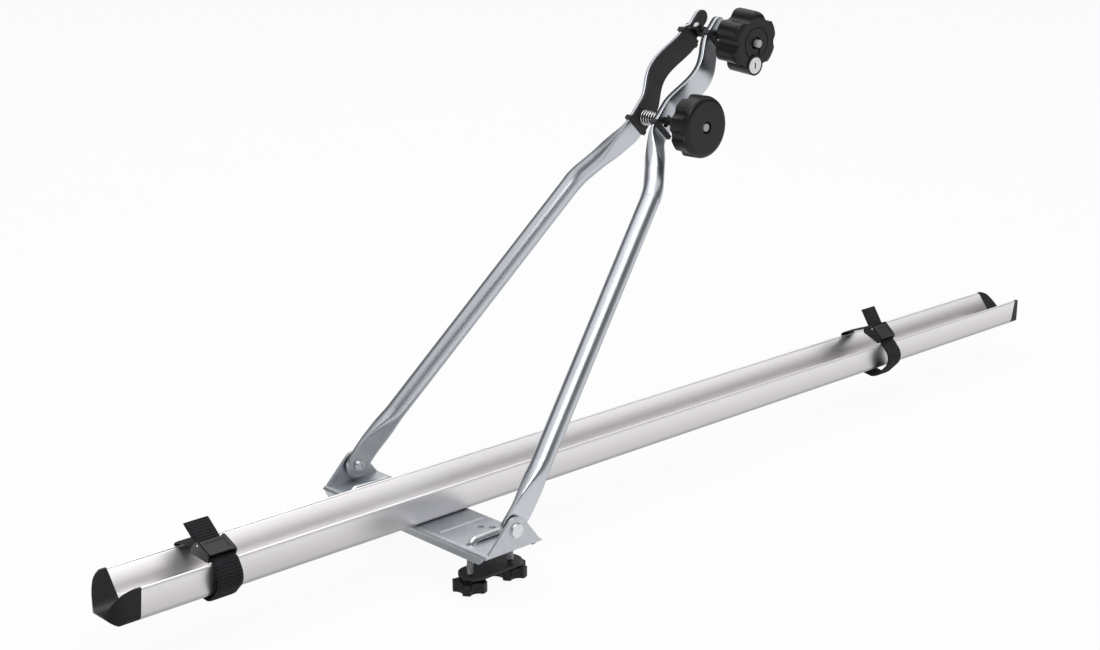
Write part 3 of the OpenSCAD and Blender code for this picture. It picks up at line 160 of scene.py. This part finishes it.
class ShaderTree:
    """A tree of shader nodes that are added by kind and linked by socket."""

    def __init__(self, tree):
        self.tree = tree

    def add(self, kind, settings=None, **sockets):
        node = self.tree.nodes.new(kind)
        for key, value in (settings or {}).items():
            setattr(node, key, value)
        for key, value in sockets.items():
            self.put(node.inputs[key.replace("_", " ")], value)
        return node

    def put(self, socket, value):
        if isinstance(value, bpy.types.NodeSocket):
            self.tree.links.new(value, socket)
        else:
            socket.default_value = value

    def ramp(self, value, stops):
        node = self.add("ShaderNodeValToRGB", Fac=value)
        band = node.color_ramp
        while len(band.elements) < len(stops):
            band.elements.new(0.5)
        for element, (at, colour) in zip(band.elements, stops):
            element.position = at
            element.color = (*colour, 1.0)
        return node.outputs["Color"]

    def map_range(self, value, source, target):
        node = self.add("ShaderNodeMapRange", Value=value)
        for socket, number in zip(("From Min", "From Max", "To Min", "To Max"), source + target):
            node.inputs[socket].default_value = number
        return node.outputs["Result"]

    def calc(self, operation, first, second=0.0):
        node = self.add("ShaderNodeMath", {"operation": operation})
        self.put(node.inputs[0], first)
        self.put(node.inputs[1], second)
        return node.outputs[0]

    def blend(self, share, first, second):
        """The first shader where share is 0 and the second where it is 1."""
        node = self.add("ShaderNodeMixShader", Fac=share)
        self.put(node.inputs[1], first)
        self.put(node.inputs[2], second)
        return node.outputs[0]


class Look(ShaderTree):
    """A procedural material around one Principled shader."""

    def __init__(self, name):
        self.material = bpy.data.materials.new(name)
        self.material.use_nodes = True
        super().__init__(self.material.node_tree)
        self.shader = self.tree.nodes["Principled BSDF"]

    def set(self, **sockets):
        for key, value in sockets.items():
            self.put(self.shader.inputs[key.replace("_", " ")], value)

    def place(self, stretch=(1, 1, 1)):
        """Place on the object, stretched along each axis."""
        where = self.add("ShaderNodeTexCoord").outputs["Object"]
        return self.add("ShaderNodeMapping", Vector=where, Scale=stretch).outputs["Vector"]

    def noise(self, scale, stretch=(1, 1, 1), detail=3.0):
        node = self.add("ShaderNodeTexNoise", Vector=self.place(stretch), Scale=scale, Detail=detail)
        return node.outputs["Fac"]

    def span(self, value, low, high):
        """Maps 0 to 1 onto low to high."""
        return self.map_range(value, (0, 1), (low, high))

    def along(self, axis):
        """Distance along a direction, in metres."""
        where = self.add("ShaderNodeTexCoord").outputs["Object"]
        node = self.add("ShaderNodeVectorMath", {"operation": "DOT_PRODUCT"})
        self.put(node.inputs[0], where)
        self.put(node.inputs[1], tuple(axis))
        return node.outputs["Value"]

    def wave(self, distance, pitch):
        """Sine of a distance in metres, with its pitch in millimetres."""
        return self.calc("SINE", self.calc("MULTIPLY", distance, 2 * math.pi / (pitch * MM)))

    def bump(self, height, distance, strength=1.0, normal=None):
        node = self.add("ShaderNodeBump", Height=height, Distance=distance, Strength=strength)
        if normal is not None:
            self.put(node.inputs["Normal"], normal)
        return node.outputs["Normal"]

    def soft_edge(self, radius):
        """Normal that rounds sharp edges by the radius."""
        return self.add("ShaderNodeBevel", {"samples": 4}, Radius=radius).outputs["Normal"]


def tinted(tint, low, high):
    """Stops from a darker to a lighter level of a tint, over the middle of a noise."""
    return [(at, tuple(c * level for c in tint)) for at, level in ((0.3, low), (0.7, high))]


def grey_stops(low, high):
    return tinted((1, 1, 1), low, high)


def anodised():
    look = Look("anodised_aluminium")
    lines = look.noise(60, stretch=(0.05, 30, 30), detail=5)
    cloud = look.noise(9, stretch=(0.4, 1, 1), detail=2)
    colour = look.ramp(cloud, tinted((0.95, 0.925, 0.93), 0.97, 1.0))
    normal = look.bump(lines, distance=0.00003, strength=0.4, normal=look.soft_edge(0.0003))
    look.set(Base_Color=colour, Metallic=1.0, Roughness=look.span(lines, 0.33, 0.43), Normal=normal)
    return look.material


def zinc_tube():
    look = Look("zinc_tube")
    cloud = look.noise(26, detail=4)
    smear = look.noise(70, stretch=(0.3, 1, 0.3), detail=3)
    colour = look.ramp(cloud, tinted((0.58, 0.61, 0.65), 0.92, 1.0))
    blur = look.span(look.calc("MULTIPLY", cloud, smear), 0.27, 0.37)
    look.set(Base_Color=colour, Metallic=1.0, Roughness=blur)
    return look.material


def zinc_sheet():
    """Zinc with crystals that show as faint cells in a cloud."""
    cell_share, tone = 0.5, 0.7
    look = Look("zinc_sheet")
    cloud = look.noise(40, detail=5)
    cells = look.add("ShaderNodeTexVoronoi", {"feature": "F1"}, Vector=look.place(), Scale=160.0)
    patch = look.calc("ADD", look.calc("MULTIPLY", cells.outputs["Distance"], cell_share), cloud)
    colour = look.ramp(look.calc("MULTIPLY", patch, tone), tinted((0.56, 0.585, 0.62), 0.88, 1.0))
    normal = look.bump(patch, distance=0.00002, strength=0.4, normal=look.soft_edge(0.0006))
    look.set(Base_Color=colour, Metallic=1.0, Roughness=look.span(cloud, 0.34, 0.46), Normal=normal)
    return look.material


def thread_bump(look, axis, pitch, normal, below=None):
    """Normal of a thread along an axis, in the part below a height if one is given, in millimetres."""
    ridge = look.wave(look.along(axis), pitch)
    if below is not None:
        ridge = look.calc("MULTIPLY", ridge, look.calc("LESS_THAN", look.along(UP), below * MM))
    return look.bump(ridge, distance=THREAD_DEPTH * pitch * MM, normal=normal)


def bright_zinc(name="bright_zinc", thread_axis=None, pitch=None, below=None):
    """Plated steel; with an axis it carries a thread of that pitch, below the given height if stated."""
    look = Look(name)
    cloud = look.noise(120, detail=3)
    colour = look.ramp(cloud, tinted((0.74, 0.755, 0.77), 0.88, 1.0))
    normal = look.soft_edge(0.0003)
    if thread_axis is not None:
        normal = thread_bump(look, thread_axis, pitch, normal, below)
    look.set(Base_Color=colour, Metallic=1.0, Roughness=look.span(cloud, 0.2, 0.32), Normal=normal)
    return look.material


def black_steel():
    look = Look("black_steel")
    cloud = look.noise(150, detail=4)
    colour = look.ramp(cloud, grey_stops(0.010, 0.018))
    blur = look.span(cloud, 0.3, 0.46)
    look.set(Base_Color=colour, Metallic=0.25, Roughness=blur, Normal=look.soft_edge(0.0004))
    return look.material


def black_thread(name, axis):
    """Black bolt with a thread along its axis; the last few millimetres before its tip are bare metal."""
    look = Look("black_thread_" + name)
    cloud = look.noise(150, detail=4)
    tip = min(vertex.co.dot(axis) for vertex in nodes[name].data.vertices)
    bare = look.calc("LESS_THAN", look.along(axis), tip + BARE_TIP * MM)
    # The black's stops are in the ramp's lower half and the bare metal's in its upper half
    shade = look.calc("MULTIPLY", look.calc("ADD", cloud, bare), 0.5)
    levels = [(0.15, 0.010), (0.35, 0.018), (0.6, 0.34), (0.9, 0.46)]
    colour = look.ramp(shade, [(at, (level,) * 3) for at, level in levels])
    metal, blur = look.span(bare, 0.25, 1.0), look.span(cloud, 0.3, 0.46)
    normal = thread_bump(look, axis, JAW_BOLT_PITCH, look.soft_edge(0.0004))
    look.set(Base_Color=colour, Metallic=metal, Roughness=blur, Normal=normal)
    return look.material


def black_plastic(name="black_plastic", base=0.010, rough=(0.30, 0.40), edge=0.0009):
    look = Look(name)
    grain = look.noise(2200, detail=2)
    cloud = look.noise(35, detail=3)
    colour = look.ramp(cloud, tinted((base, base, base * 1.08), 0.8, 1.15))
    normal = look.bump(grain, distance=0.00004, strength=0.3, normal=look.soft_edge(edge))
    look.set(Base_Color=colour, Roughness=look.span(cloud, *rough), Specular_IOR_Level=0.3, Normal=normal)
    return look.material


def rubber():
    look = Look("black_rubber")
    grain = look.noise(1500, detail=3)
    cloud = look.noise(60, detail=3)
    colour = look.ramp(cloud, tinted((0.026, 0.025, 0.027), 0.8, 1.15))
    normal = look.bump(grain, distance=0.0001, strength=0.4, normal=look.soft_edge(0.0006))
    look.set(Base_Color=colour, Roughness=look.span(cloud, 0.55, 0.72), Normal=normal)
    return look.material


def polished(name, scale, detail, stops, rough):
    """Polished or turned metal with a faint cloud."""
    look = Look(name)
    cloud = look.noise(scale, detail=detail)
    blur = look.span(cloud, *rough)
    look.set(Base_Color=look.ramp(cloud, stops), Metallic=1.0, Roughness=blur, Normal=look.soft_edge(0.0003))
    return look.material


def chrome():
    return polished("lock_chrome", 300, 4, tinted((0.70, 0.705, 0.72), 0.9, 1.0), rough=(0.06, 0.16))


def brass():
    return polished("turned_brass", 400, 3, tinted((0.78, 0.60, 0.32), 0.8, 1.0), rough=(0.25, 0.4))


def webbing():
    """Ribbed webbing with a painted highlight on its crests: the map holds metres along the strap and across
    it.
    """
    weave_share, crest_highlight_share, fuzz_shade = 0.3, 0.22, 0.9
    look = Look("ribbed_webbing")
    where = look.add("ShaderNodeUVMap", {"uv_map": "run"}).outputs["UV"]
    parts = look.add("ShaderNodeSeparateXYZ", Vector=where)
    run, width = parts.outputs["X"], parts.outputs["Y"]
    twill = look.wave(look.calc("ADD", run, width), TWILL_PITCH)
    weave = look.calc("ADD", twill, look.wave(width, YARN_PITCH))
    height = look.calc("ADD", look.wave(run, RIB_PITCH), look.calc("MULTIPLY", weave, weave_share))
    fuzz = look.noise(3500, detail=3)
    # Painted highlight: the crests of the ribs and the weave are lighter in colour; the fuzz adds random tone
    painted_crest_highlight = look.calc("MULTIPLY", height, crest_highlight_share)
    shade = look.calc("ADD", painted_crest_highlight, look.calc("MULTIPLY", fuzz, fuzz_shade))
    colour = look.ramp(shade, [
        (0.1, (0.0015, 0.0017, 0.003)),
        (0.55, (0.006, 0.0065, 0.0095)),
        (0.9, (0.045, 0.047, 0.055)),
    ])
    look.set(Base_Color=colour, Roughness=look.span(fuzz, 0.45, 0.65), Specular_IOR_Level=0.25,
             Sheen_Weight=0.04, Normal=look.bump(height, distance=0.0003))
    return look.material


def named(*starts):
    """Names of the CAD nodes that start with one of these."""
    return [name for name in nodes if name.startswith(starts)]


def dress(material, names):
    for name in names:
        slots = nodes[name].data.materials
        slots.clear()
        slots.append(material)


# Smooth shading of the CAD meshes

def read(items, key, width=1, kind=float):
    """One property of all items of a mesh, as an array."""
    values = np.empty(len(items) * width, kind)
    items.foreach_get(key, values)
    return values.reshape(-1, width) if width > 1 else values


def shade_rounds(name, bend=None):
    """Shades faces that meet at a small angle as one round; bend may turn the normals further."""
    mesh = nodes[name].data
    corner_vertex = read(mesh.loops, "vertex_index", kind=int)
    spots = read(mesh.vertices, "co", 3)
    grid = np.round(spots / (SAME_SPOT * MM)).astype(np.int64)
    _, spot = np.unique(grid, axis=0, return_inverse=True)
    corner_spot = spot.reshape(-1)[corner_vertex]
    face_normal = read(mesh.polygons, "normal", 3)
    face_area = read(mesh.polygons, "area")
    corner_face = np.repeat(np.arange(len(mesh.polygons)), read(mesh.polygons, "loop_total", kind=int))
    order = np.argsort(corner_spot, kind="stable")
    edges = np.flatnonzero(np.diff(corner_spot[order])) + 1
    least = math.cos(ROUND_ANGLE)
    normals = np.empty((len(mesh.loops), 3))
    for group in np.split(order, edges):
        faces = corner_face[group]
        facing = face_normal[faces]
        near = facing @ facing.T >= least
        total = near @ (facing * face_area[faces][:, None])
        size = np.linalg.norm(total, axis=1, keepdims=True)
        normals[group] = np.where(size > 0, total / np.maximum(size, TINY), facing)
    if bend is not None:
        normals = bend(spots[corner_vertex], normals)
    mesh.polygons.foreach_set("use_smooth", np.ones(len(mesh.polygons), bool))
    mesh.normals_split_custom_set(normals.tolist())


def leaning(side, angle):
    """Directions across the tray, to one side along Y, that lean up from level by an angle."""
    return np.stack([np.zeros_like(angle), side * np.cos(angle), np.sin(angle)], axis=1)


def round_tray_walls(points, normals):
    """Turns the tray's normals as if its channel flared at the lips and its outer walls bulged."""
    # Parts of a normal, out to its side or up, that tell the channel's faces from the outer ones
    channel_out, channel_up, outer_out = 0.01, 0.3, 0.9
    side = np.sign(points[:, 1])
    y, z = np.abs(points[:, 1]) / MM, points[:, 2] / MM - TRAY_Z
    facing_y, facing_z = -math.cos(CHANNEL_LEAN), math.sin(CHANNEL_LEAN)
    lip_y = LIP_OUT - LIP_W
    centre_z = LIP_TOP + (CHANNEL_R + lip_y * facing_y) / facing_z
    tangent_z = centre_z - facing_z * CHANNEL_R

    inward = (normals[:, 1] * side <= channel_out) & (normals[:, 2] > channel_up)
    off_wall = (y - lip_y) * facing_y + (z - LIP_TOP) * facing_z
    wall = inward & (np.abs(off_wall) < ON_WALL) & (z >= tangent_z - ON_WALL)
    off_arc = np.hypot(y, z - centre_z) - CHANNEL_R
    arc = inward & ~wall & (np.abs(off_arc) < ON_WALL) & (z < tangent_z)
    on_wall = WALL_FOOT + (WALL_LIP - WALL_FOOT) * (z - tangent_z) / (LIP_TOP - tangent_z)
    upright = math.pi / 2
    off_floor = np.arctan2(y, np.maximum(centre_z - z, TINY))
    on_arc = upright - off_floor * (upright - WALL_FOOT) / (upright - CHANNEL_LEAN)
    flared = leaning(-side, np.where(wall, on_wall, on_arc))

    outer = (normals[:, 1] * side > outer_out) & (y > FOOT_Y)
    rise = np.clip((z - FOOT_R) / (LIP_TOP - FOOT_R), 0, 1)
    tilt = np.arctan2(normals[:, 2], normals[:, 1] * side) + WALL_BULGE * (2 * rise - 1)
    bulged = leaning(side, tilt)
    return np.where((wall | arc)[:, None], flared, np.where(outer[:, None], bulged, normals))


# Meshes made here

def make_mesh(name, points, faces, material, body):
    mesh = bpy.data.meshes.new(name)
    mesh.from_pydata([tuple(p) for p in points], [], faces)
    mesh.update()
    for face in mesh.polygons:
        face.use_smooth = True
    piece = bpy.data.objects.new(name, mesh)
    bpy.context.scene.collection.objects.link(piece)
    mesh.materials.append(material)
    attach(piece, body)
    return piece


def swept_faces(rings, around):
    """Faces of a closed sweep of rings, with flat ends."""
    faces = []
    for i in range(rings - 1):
        for k in range(around):
            a = i * around + k
            b = i * around + (k + 1) % around
            faces.append((a, b, b + around, a + around))
    faces.append(tuple(range(around - 1, -1, -1)))
    faces.append(tuple((rings - 1) * around + k for k in range(around)))
    return faces


# Straps

def buckle_point(end, u, v):
    """Point of a buckle in Y and Z from the tray's foot: u along its webbing, v away from the tray."""
    c, s = turned(STRAP_SLOPE[end])
    lip_r = LIP_W / 2 + LIP_BEAD
    lip = np.array([LIP_W / 2 - LIP_OUT, LIP_TOP - lip_r])
    along = u + BUCKLE_HALF + BUCKLE_LEAD
    up = v + lip_r
    return lip + np.array([along * c - up * s, along * s + up * c])


def round_corner(before, at, after, radius, steps=16):
    """Points of the arc that rounds a corner of a line."""
    a = (before - at) / np.linalg.norm(before - at)
    b = (after - at) / np.linalg.norm(after - at)
    half = math.acos(max(-1.0, min(1.0, float(a @ b)))) / 2
    back = radius / math.tan(half)
    centre = at + (a + b) / np.linalg.norm(a + b) * radius / math.sin(half)
    start, end = at + a * back - centre, at + b * back - centre
    first = math.atan2(start[1], start[0])
    turn = math.atan2(start[0] * end[1] - start[1] * end[0], float(start @ end))
    return [centre + radius * turned(first + turn * k / steps) for k in range(steps + 1)]


def even_run(points, step):
    """The same line with points an even step apart, and the distance along it."""
    points = np.array(points)
    legs = np.linalg.norm(np.diff(points, axis=0), axis=1)
    total = np.concatenate([[0], np.cumsum(legs)])
    count = int(total[-1] / step)
    run = np.linspace(0, total[-1], count + 1)
    return np.stack([np.interp(run, total, points[:, axis]) for axis in (0, 1)], axis=1), run


def strap_line(end):
    """Route of the webbing in Y and Z from the tray's foot, from the sewn end to the loose tail."""
    off = STRAP_GAP + WEB_T / 2
    low = off + STRAP_LOW_GAP
    slack = STRAP_SLACK[end]
    wrap = BAR_R + off
    bar = buckle_point(end, BAR_U, BAR_V)
    start = bar + wrap * START_LEAN
    far_lip = np.array([LIP_OUT + LIP_BEAD + low + LIP_EASE, LIP_TOP + off + LIP_EASE])
    far_foot = np.array([FOOT_Y + FOOT_R + FOOT_EASE, -low])
    near_foot = np.array([-FOOT_Y - NEAR_FOOT_OUT, -off - slack])
    belly = np.array([-BELLY_OUT - BELLY_SHARE * slack, LIP_TOP / 2 - BELLY_DROP])
    over_lip = buckle_point(end, -BUCKLE_HALF - BUCKLE_LEAD - OVER_LIP_LEAD, off + FOOT_EASE)
    leave = buckle_point(end, BUCKLE_HALF, off)
    tail = buckle_point(end, TAIL_U, off + TAIL_RISE)
    route = [start, far_lip, far_foot, near_foot, belly, over_lip, leave, tail]
    radii = [LIP_W / 2 + LIP_BEAD + off, FOOT_R + low, FOOT_TURN_R, BELLY_TURN_R, LIP_TURN_R, TAIL_TURN_R]

    line = [bar + wrap * turned(a) for a in np.radians(np.arange(WRAP_FROM, WRAP_TO, WRAP_STEP))]
    line.append(start)
    for before, at, after, radius in zip(route, route[1:], route[2:], radii):
        line += round_corner(before, at, after, radius)
    line.append(tail)
    return line


def strap(end, material):
    """Ribbed webbing along its route, thinner at its two edges."""
    steps_per_rib, columns = 6, 9
    edge_share, edge_loss = 0.16, 0.35
    line, run = even_run(strap_line(end), RIB_PITCH / steps_per_rib)
    heading = np.gradient(line, axis=0)
    heading /= np.linalg.norm(heading, axis=1, keepdims=True)
    normal = np.stack([-heading[:, 1], heading[:, 0]], axis=1)
    across = np.linspace(-1, 1, columns)
    edge_thin = 1 - edge_loss * np.clip((np.abs(across) - (1 - edge_share)) / edge_share, 0, 1)
    points, places = [], []
    for i in range(len(run)):
        rib = RIB_DEPTH * (0.5 + 0.5 * math.cos(2 * math.pi * run[i] / RIB_PITCH))
        for face in (1, -1):
            for a, thin in zip(across[::face], edge_thin[::face]):
                spot = line[i] + normal[i] * face * thin * (WEB_T / 2 - rib)
                points.append(((STRAP_X[end] + a * WEB_W / 2) * MM, spot[0] * MM, (spot[1] + TRAY_Z) * MM))
                places.append((run[i] * MM, a * WEB_W / 2 * MM))
    faces = swept_faces(len(run), 2 * columns)
    piece = make_mesh(f"webbing_{end}", points, faces, material, "foot")
    layer = piece.data.uv_layers.new(name="run")
    for loop in piece.data.loops:
        layer.data[loop.index].uv = places[loop.vertex_index]
    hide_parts(f"strap_{end}")


# Jaw spring

def spring_path(length, per_coil):
    """Middle line of the spring's wire: straight ends square to the liners, coils between."""
    count = SPRING_COILS * per_coil
    lead = SPRING_LEAD * SPRING_WIRE
    first, last = (SPRING_BIG - SPRING_WIRE) / 2, (SPRING_SMALL - SPRING_WIRE) / 2
    path = [np.array([*first * turned(-SPRING_END_TURN), z]) for z in (0, SPRING_WIRE)]
    for i in range(count + 1):
        t = i / count
        radius = first + (last - first) * t
        z = lead + (length - 2 * lead) * t
        path.append(np.array([*radius * turned(2 * math.pi * i / per_coil), z]))
    path += [np.array([*last * turned(SPRING_END_TURN), length - z]) for z in (SPRING_WIRE, 0)]
    return path


def spring(material):
    """Conical coil on the lower bolt, from one jaw liner to the other."""
    per_coil, sides = 28, 12
    seat = LINER_IN - SEAT_GAP
    path = spring_path(2 * seat, per_coil)
    points = []
    for i, p in enumerate(path):
        ahead = path[min(i + 1, len(path) - 1)] - path[max(i - 1, 0)]
        if i in (0, len(path) - 1):
            ahead = np.array([0, 0, 1.0])
        ahead /= np.linalg.norm(ahead)
        outward = np.array([p[0], p[1], 0]) / math.hypot(p[0], p[1])
        side = np.cross(ahead, outward)
        side /= np.linalg.norm(side)
        up = np.cross(side, ahead)
        for k in range(sides):
            c, s = turned(2 * math.pi * k / sides)
            q = p + SPRING_WIRE / 2 * (c * up + s * side)
            points.append(arm_place(LOWER_S + q[0], seat - q[2], q[1]))
    piece = make_mesh("jaw_coil", points, swept_faces(len(path), sides), material, "left_arm")
    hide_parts("jaw_spring")
    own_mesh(piece)


# Stage: floor, surround, lamps and camera

def build_floor(scene, floor_z):
    half = FLOOR_HALF
    corners = [(-half, -half, floor_z), (half, -half, floor_z), (half, half, floor_z), (-half, half, floor_z)]
    mesh = bpy.data.meshes.new("studio_floor")
    mesh.from_pydata(corners, [], [(0, 1, 2, 3)])
    floor = bpy.data.objects.new("studio_floor", mesh)
    scene.collection.objects.link(floor)
    look = Look("studio_floor")
    colour = look.ramp(look.noise(3, detail=2), grey_stops(0.86, 0.88))
    look.set(Base_Color=colour, Roughness=0.9, Specular_IOR_Level=0.0)
    rays = look.add("ShaderNodeLightPath").outputs
    seen = look.calc("MAXIMUM", rays["Is Camera Ray"], rays["Is Glossy Ray"])
    beside = look.calc("ABSOLUTE", look.along(ACROSS))
    # Painted shade: in reflections the floor's glow is darker under the part
    painted_shade_below = look.calc("MULTIPLY", rays["Is Glossy Ray"], look.map_range(beside, FLOOR_SHADE_Y, FLOOR_SHADE))
    glow = look.add("ShaderNodeEmission", Color=(1, 1, 1, 1), Strength=look.calc("SUBTRACT", 1.0, painted_shade_below))
    both = look.blend(look.calc("MULTIPLY", seen, FLOOR_GLOW), look.shader.outputs[0], glow.outputs[0])
    look.put(look.tree.nodes["Material Output"].inputs["Surface"], both)
    mesh.materials.append(look.material)


def build_world(scene):
    """Surround: white to the camera; metal sees a dark band above the horizon and white overhead."""
    world = bpy.data.worlds.new("studio")
    world.use_nodes = True
    scene.world = world
    sky = ShaderTree(world.node_tree)
    parts = sky.add("ShaderNodeSeparateXYZ", Vector=sky.add("ShaderNodeTexCoord").outputs["Generated"])
    lift = sky.map_range(parts.outputs["X"], BAND_LIFT_X, BAND_LIFT)
    height = sky.map_range(sky.calc("ADD", parts.outputs["Z"], lift), (-1, 1), (0, 1))
    colour = sky.ramp(height, [(at, (level, level, level * SURROUND_BLUE)) for at, level in SURROUND])
    rays = sky.add("ShaderNodeLightPath").outputs
    studio = sky.tree.nodes["Background"]
    sky.put(studio.inputs["Color"], colour)
    sky.put(studio.inputs["Strength"], sky.map_range(rays["Is Glossy Ray"], (0, 1), SURROUND_STRENGTH))
    plain = sky.add("ShaderNodeBackground", Color=(1, 1, 1, 1))
    both = sky.blend(rays["Is Camera Ray"], studio.outputs[0], plain.outputs[0])
    sky.put(sky.tree.nodes["World Output"].inputs["Surface"], both)


def build_lamp(scene, name, place, target, size, power):
    data = bpy.data.lights.new(name, "AREA")
    data.shape = "DISK"
    data.size = size
    data.energy = power
    light = bpy.data.objects.new(name, data)
    light.location = place
    aim = Vector(target) - Vector(place)
    light.rotation_euler = aim.to_track_quat("-Z", "Y").to_euler()
    scene.collection.objects.link(light)


def build_camera(scene):
    data = bpy.data.cameras.new("camera")
    data.sensor_width = CAMERA_SENSOR
    data.lens = CAMERA_LENS
    data.clip_end = CAMERA_REACH
    camera = bpy.data.objects.new("camera", data)
    camera.location = CAMERA_PLACE
    camera.rotation_euler = (math.pi / 2 - CAMERA_PITCH, 0, CAMERA_HEADING - math.pi / 2)
    scene.collection.objects.link(camera)
    scene.camera = camera


def build_stage(scene):
    scene.view_settings.view_transform = "Standard"
    build_floor(scene, cad_box[0][2] - FLOOR_DROP)
    build_world(scene)
    for settings in LAMPS:
        build_lamp(scene, *settings)
    build_camera(scene)


# Put together

build_stage(bpy.context.scene)

zinc = bright_zinc()
zinc_thread = bright_zinc("zinc_thread", thread_axis=UP, pitch=U_BOLT_PITCH, below=U_BOLT_THREAD_TOP)
buckle_black = black_plastic("buckle_black", base=0.014, rough=(0.3, 0.42), edge=0.0004)
web = webbing()

dress(anodised(), ["wheel_tray"])
dress(zinc_tube(), ["arm_left", "arm_right"])
dress(zinc_sheet(), ["base_plate"])
dress(zinc_thread, ["u_bolt_left", "u_bolt_right"])
dress(zinc, named("slot_nut", "tray_screw", "pivot_bolt", "pivot_nut", "buckle_pin"))
dress(zinc, ["swing_pin", "jaw_spring"])
dress(black_thread("lower_bolt", ACROSS), ["lower_bolt"])
dress(black_thread("swing_bolt", SWING_AXIS), ["swing_bolt"])
dress(black_steel(), named("clamp_plate", "lower_washer", "upper_washer", "swing_clevis", "clevis_nut"))
dress(black_plastic(), named("end_cap", "star_knob", "pivot_bush", "lower_knob", "upper_knob"))
dress(buckle_black, named("buckle_frame", "buckle_lever"))
dress(rubber(), ["jaw_liner_left", "jaw_liner_right"])
dress(brass(), ["lower_insert", "upper_insert"])
dress(chrome(), ["lock_barrel", "lock_plug"])
dress(web, ["strap_rear", "strap_front"])

for name in nodes:
    shade_rounds(name, round_tray_walls if name == "wheel_tray" else None)

for end in STRAP_X:
    strap(end, web)
spring(zinc)
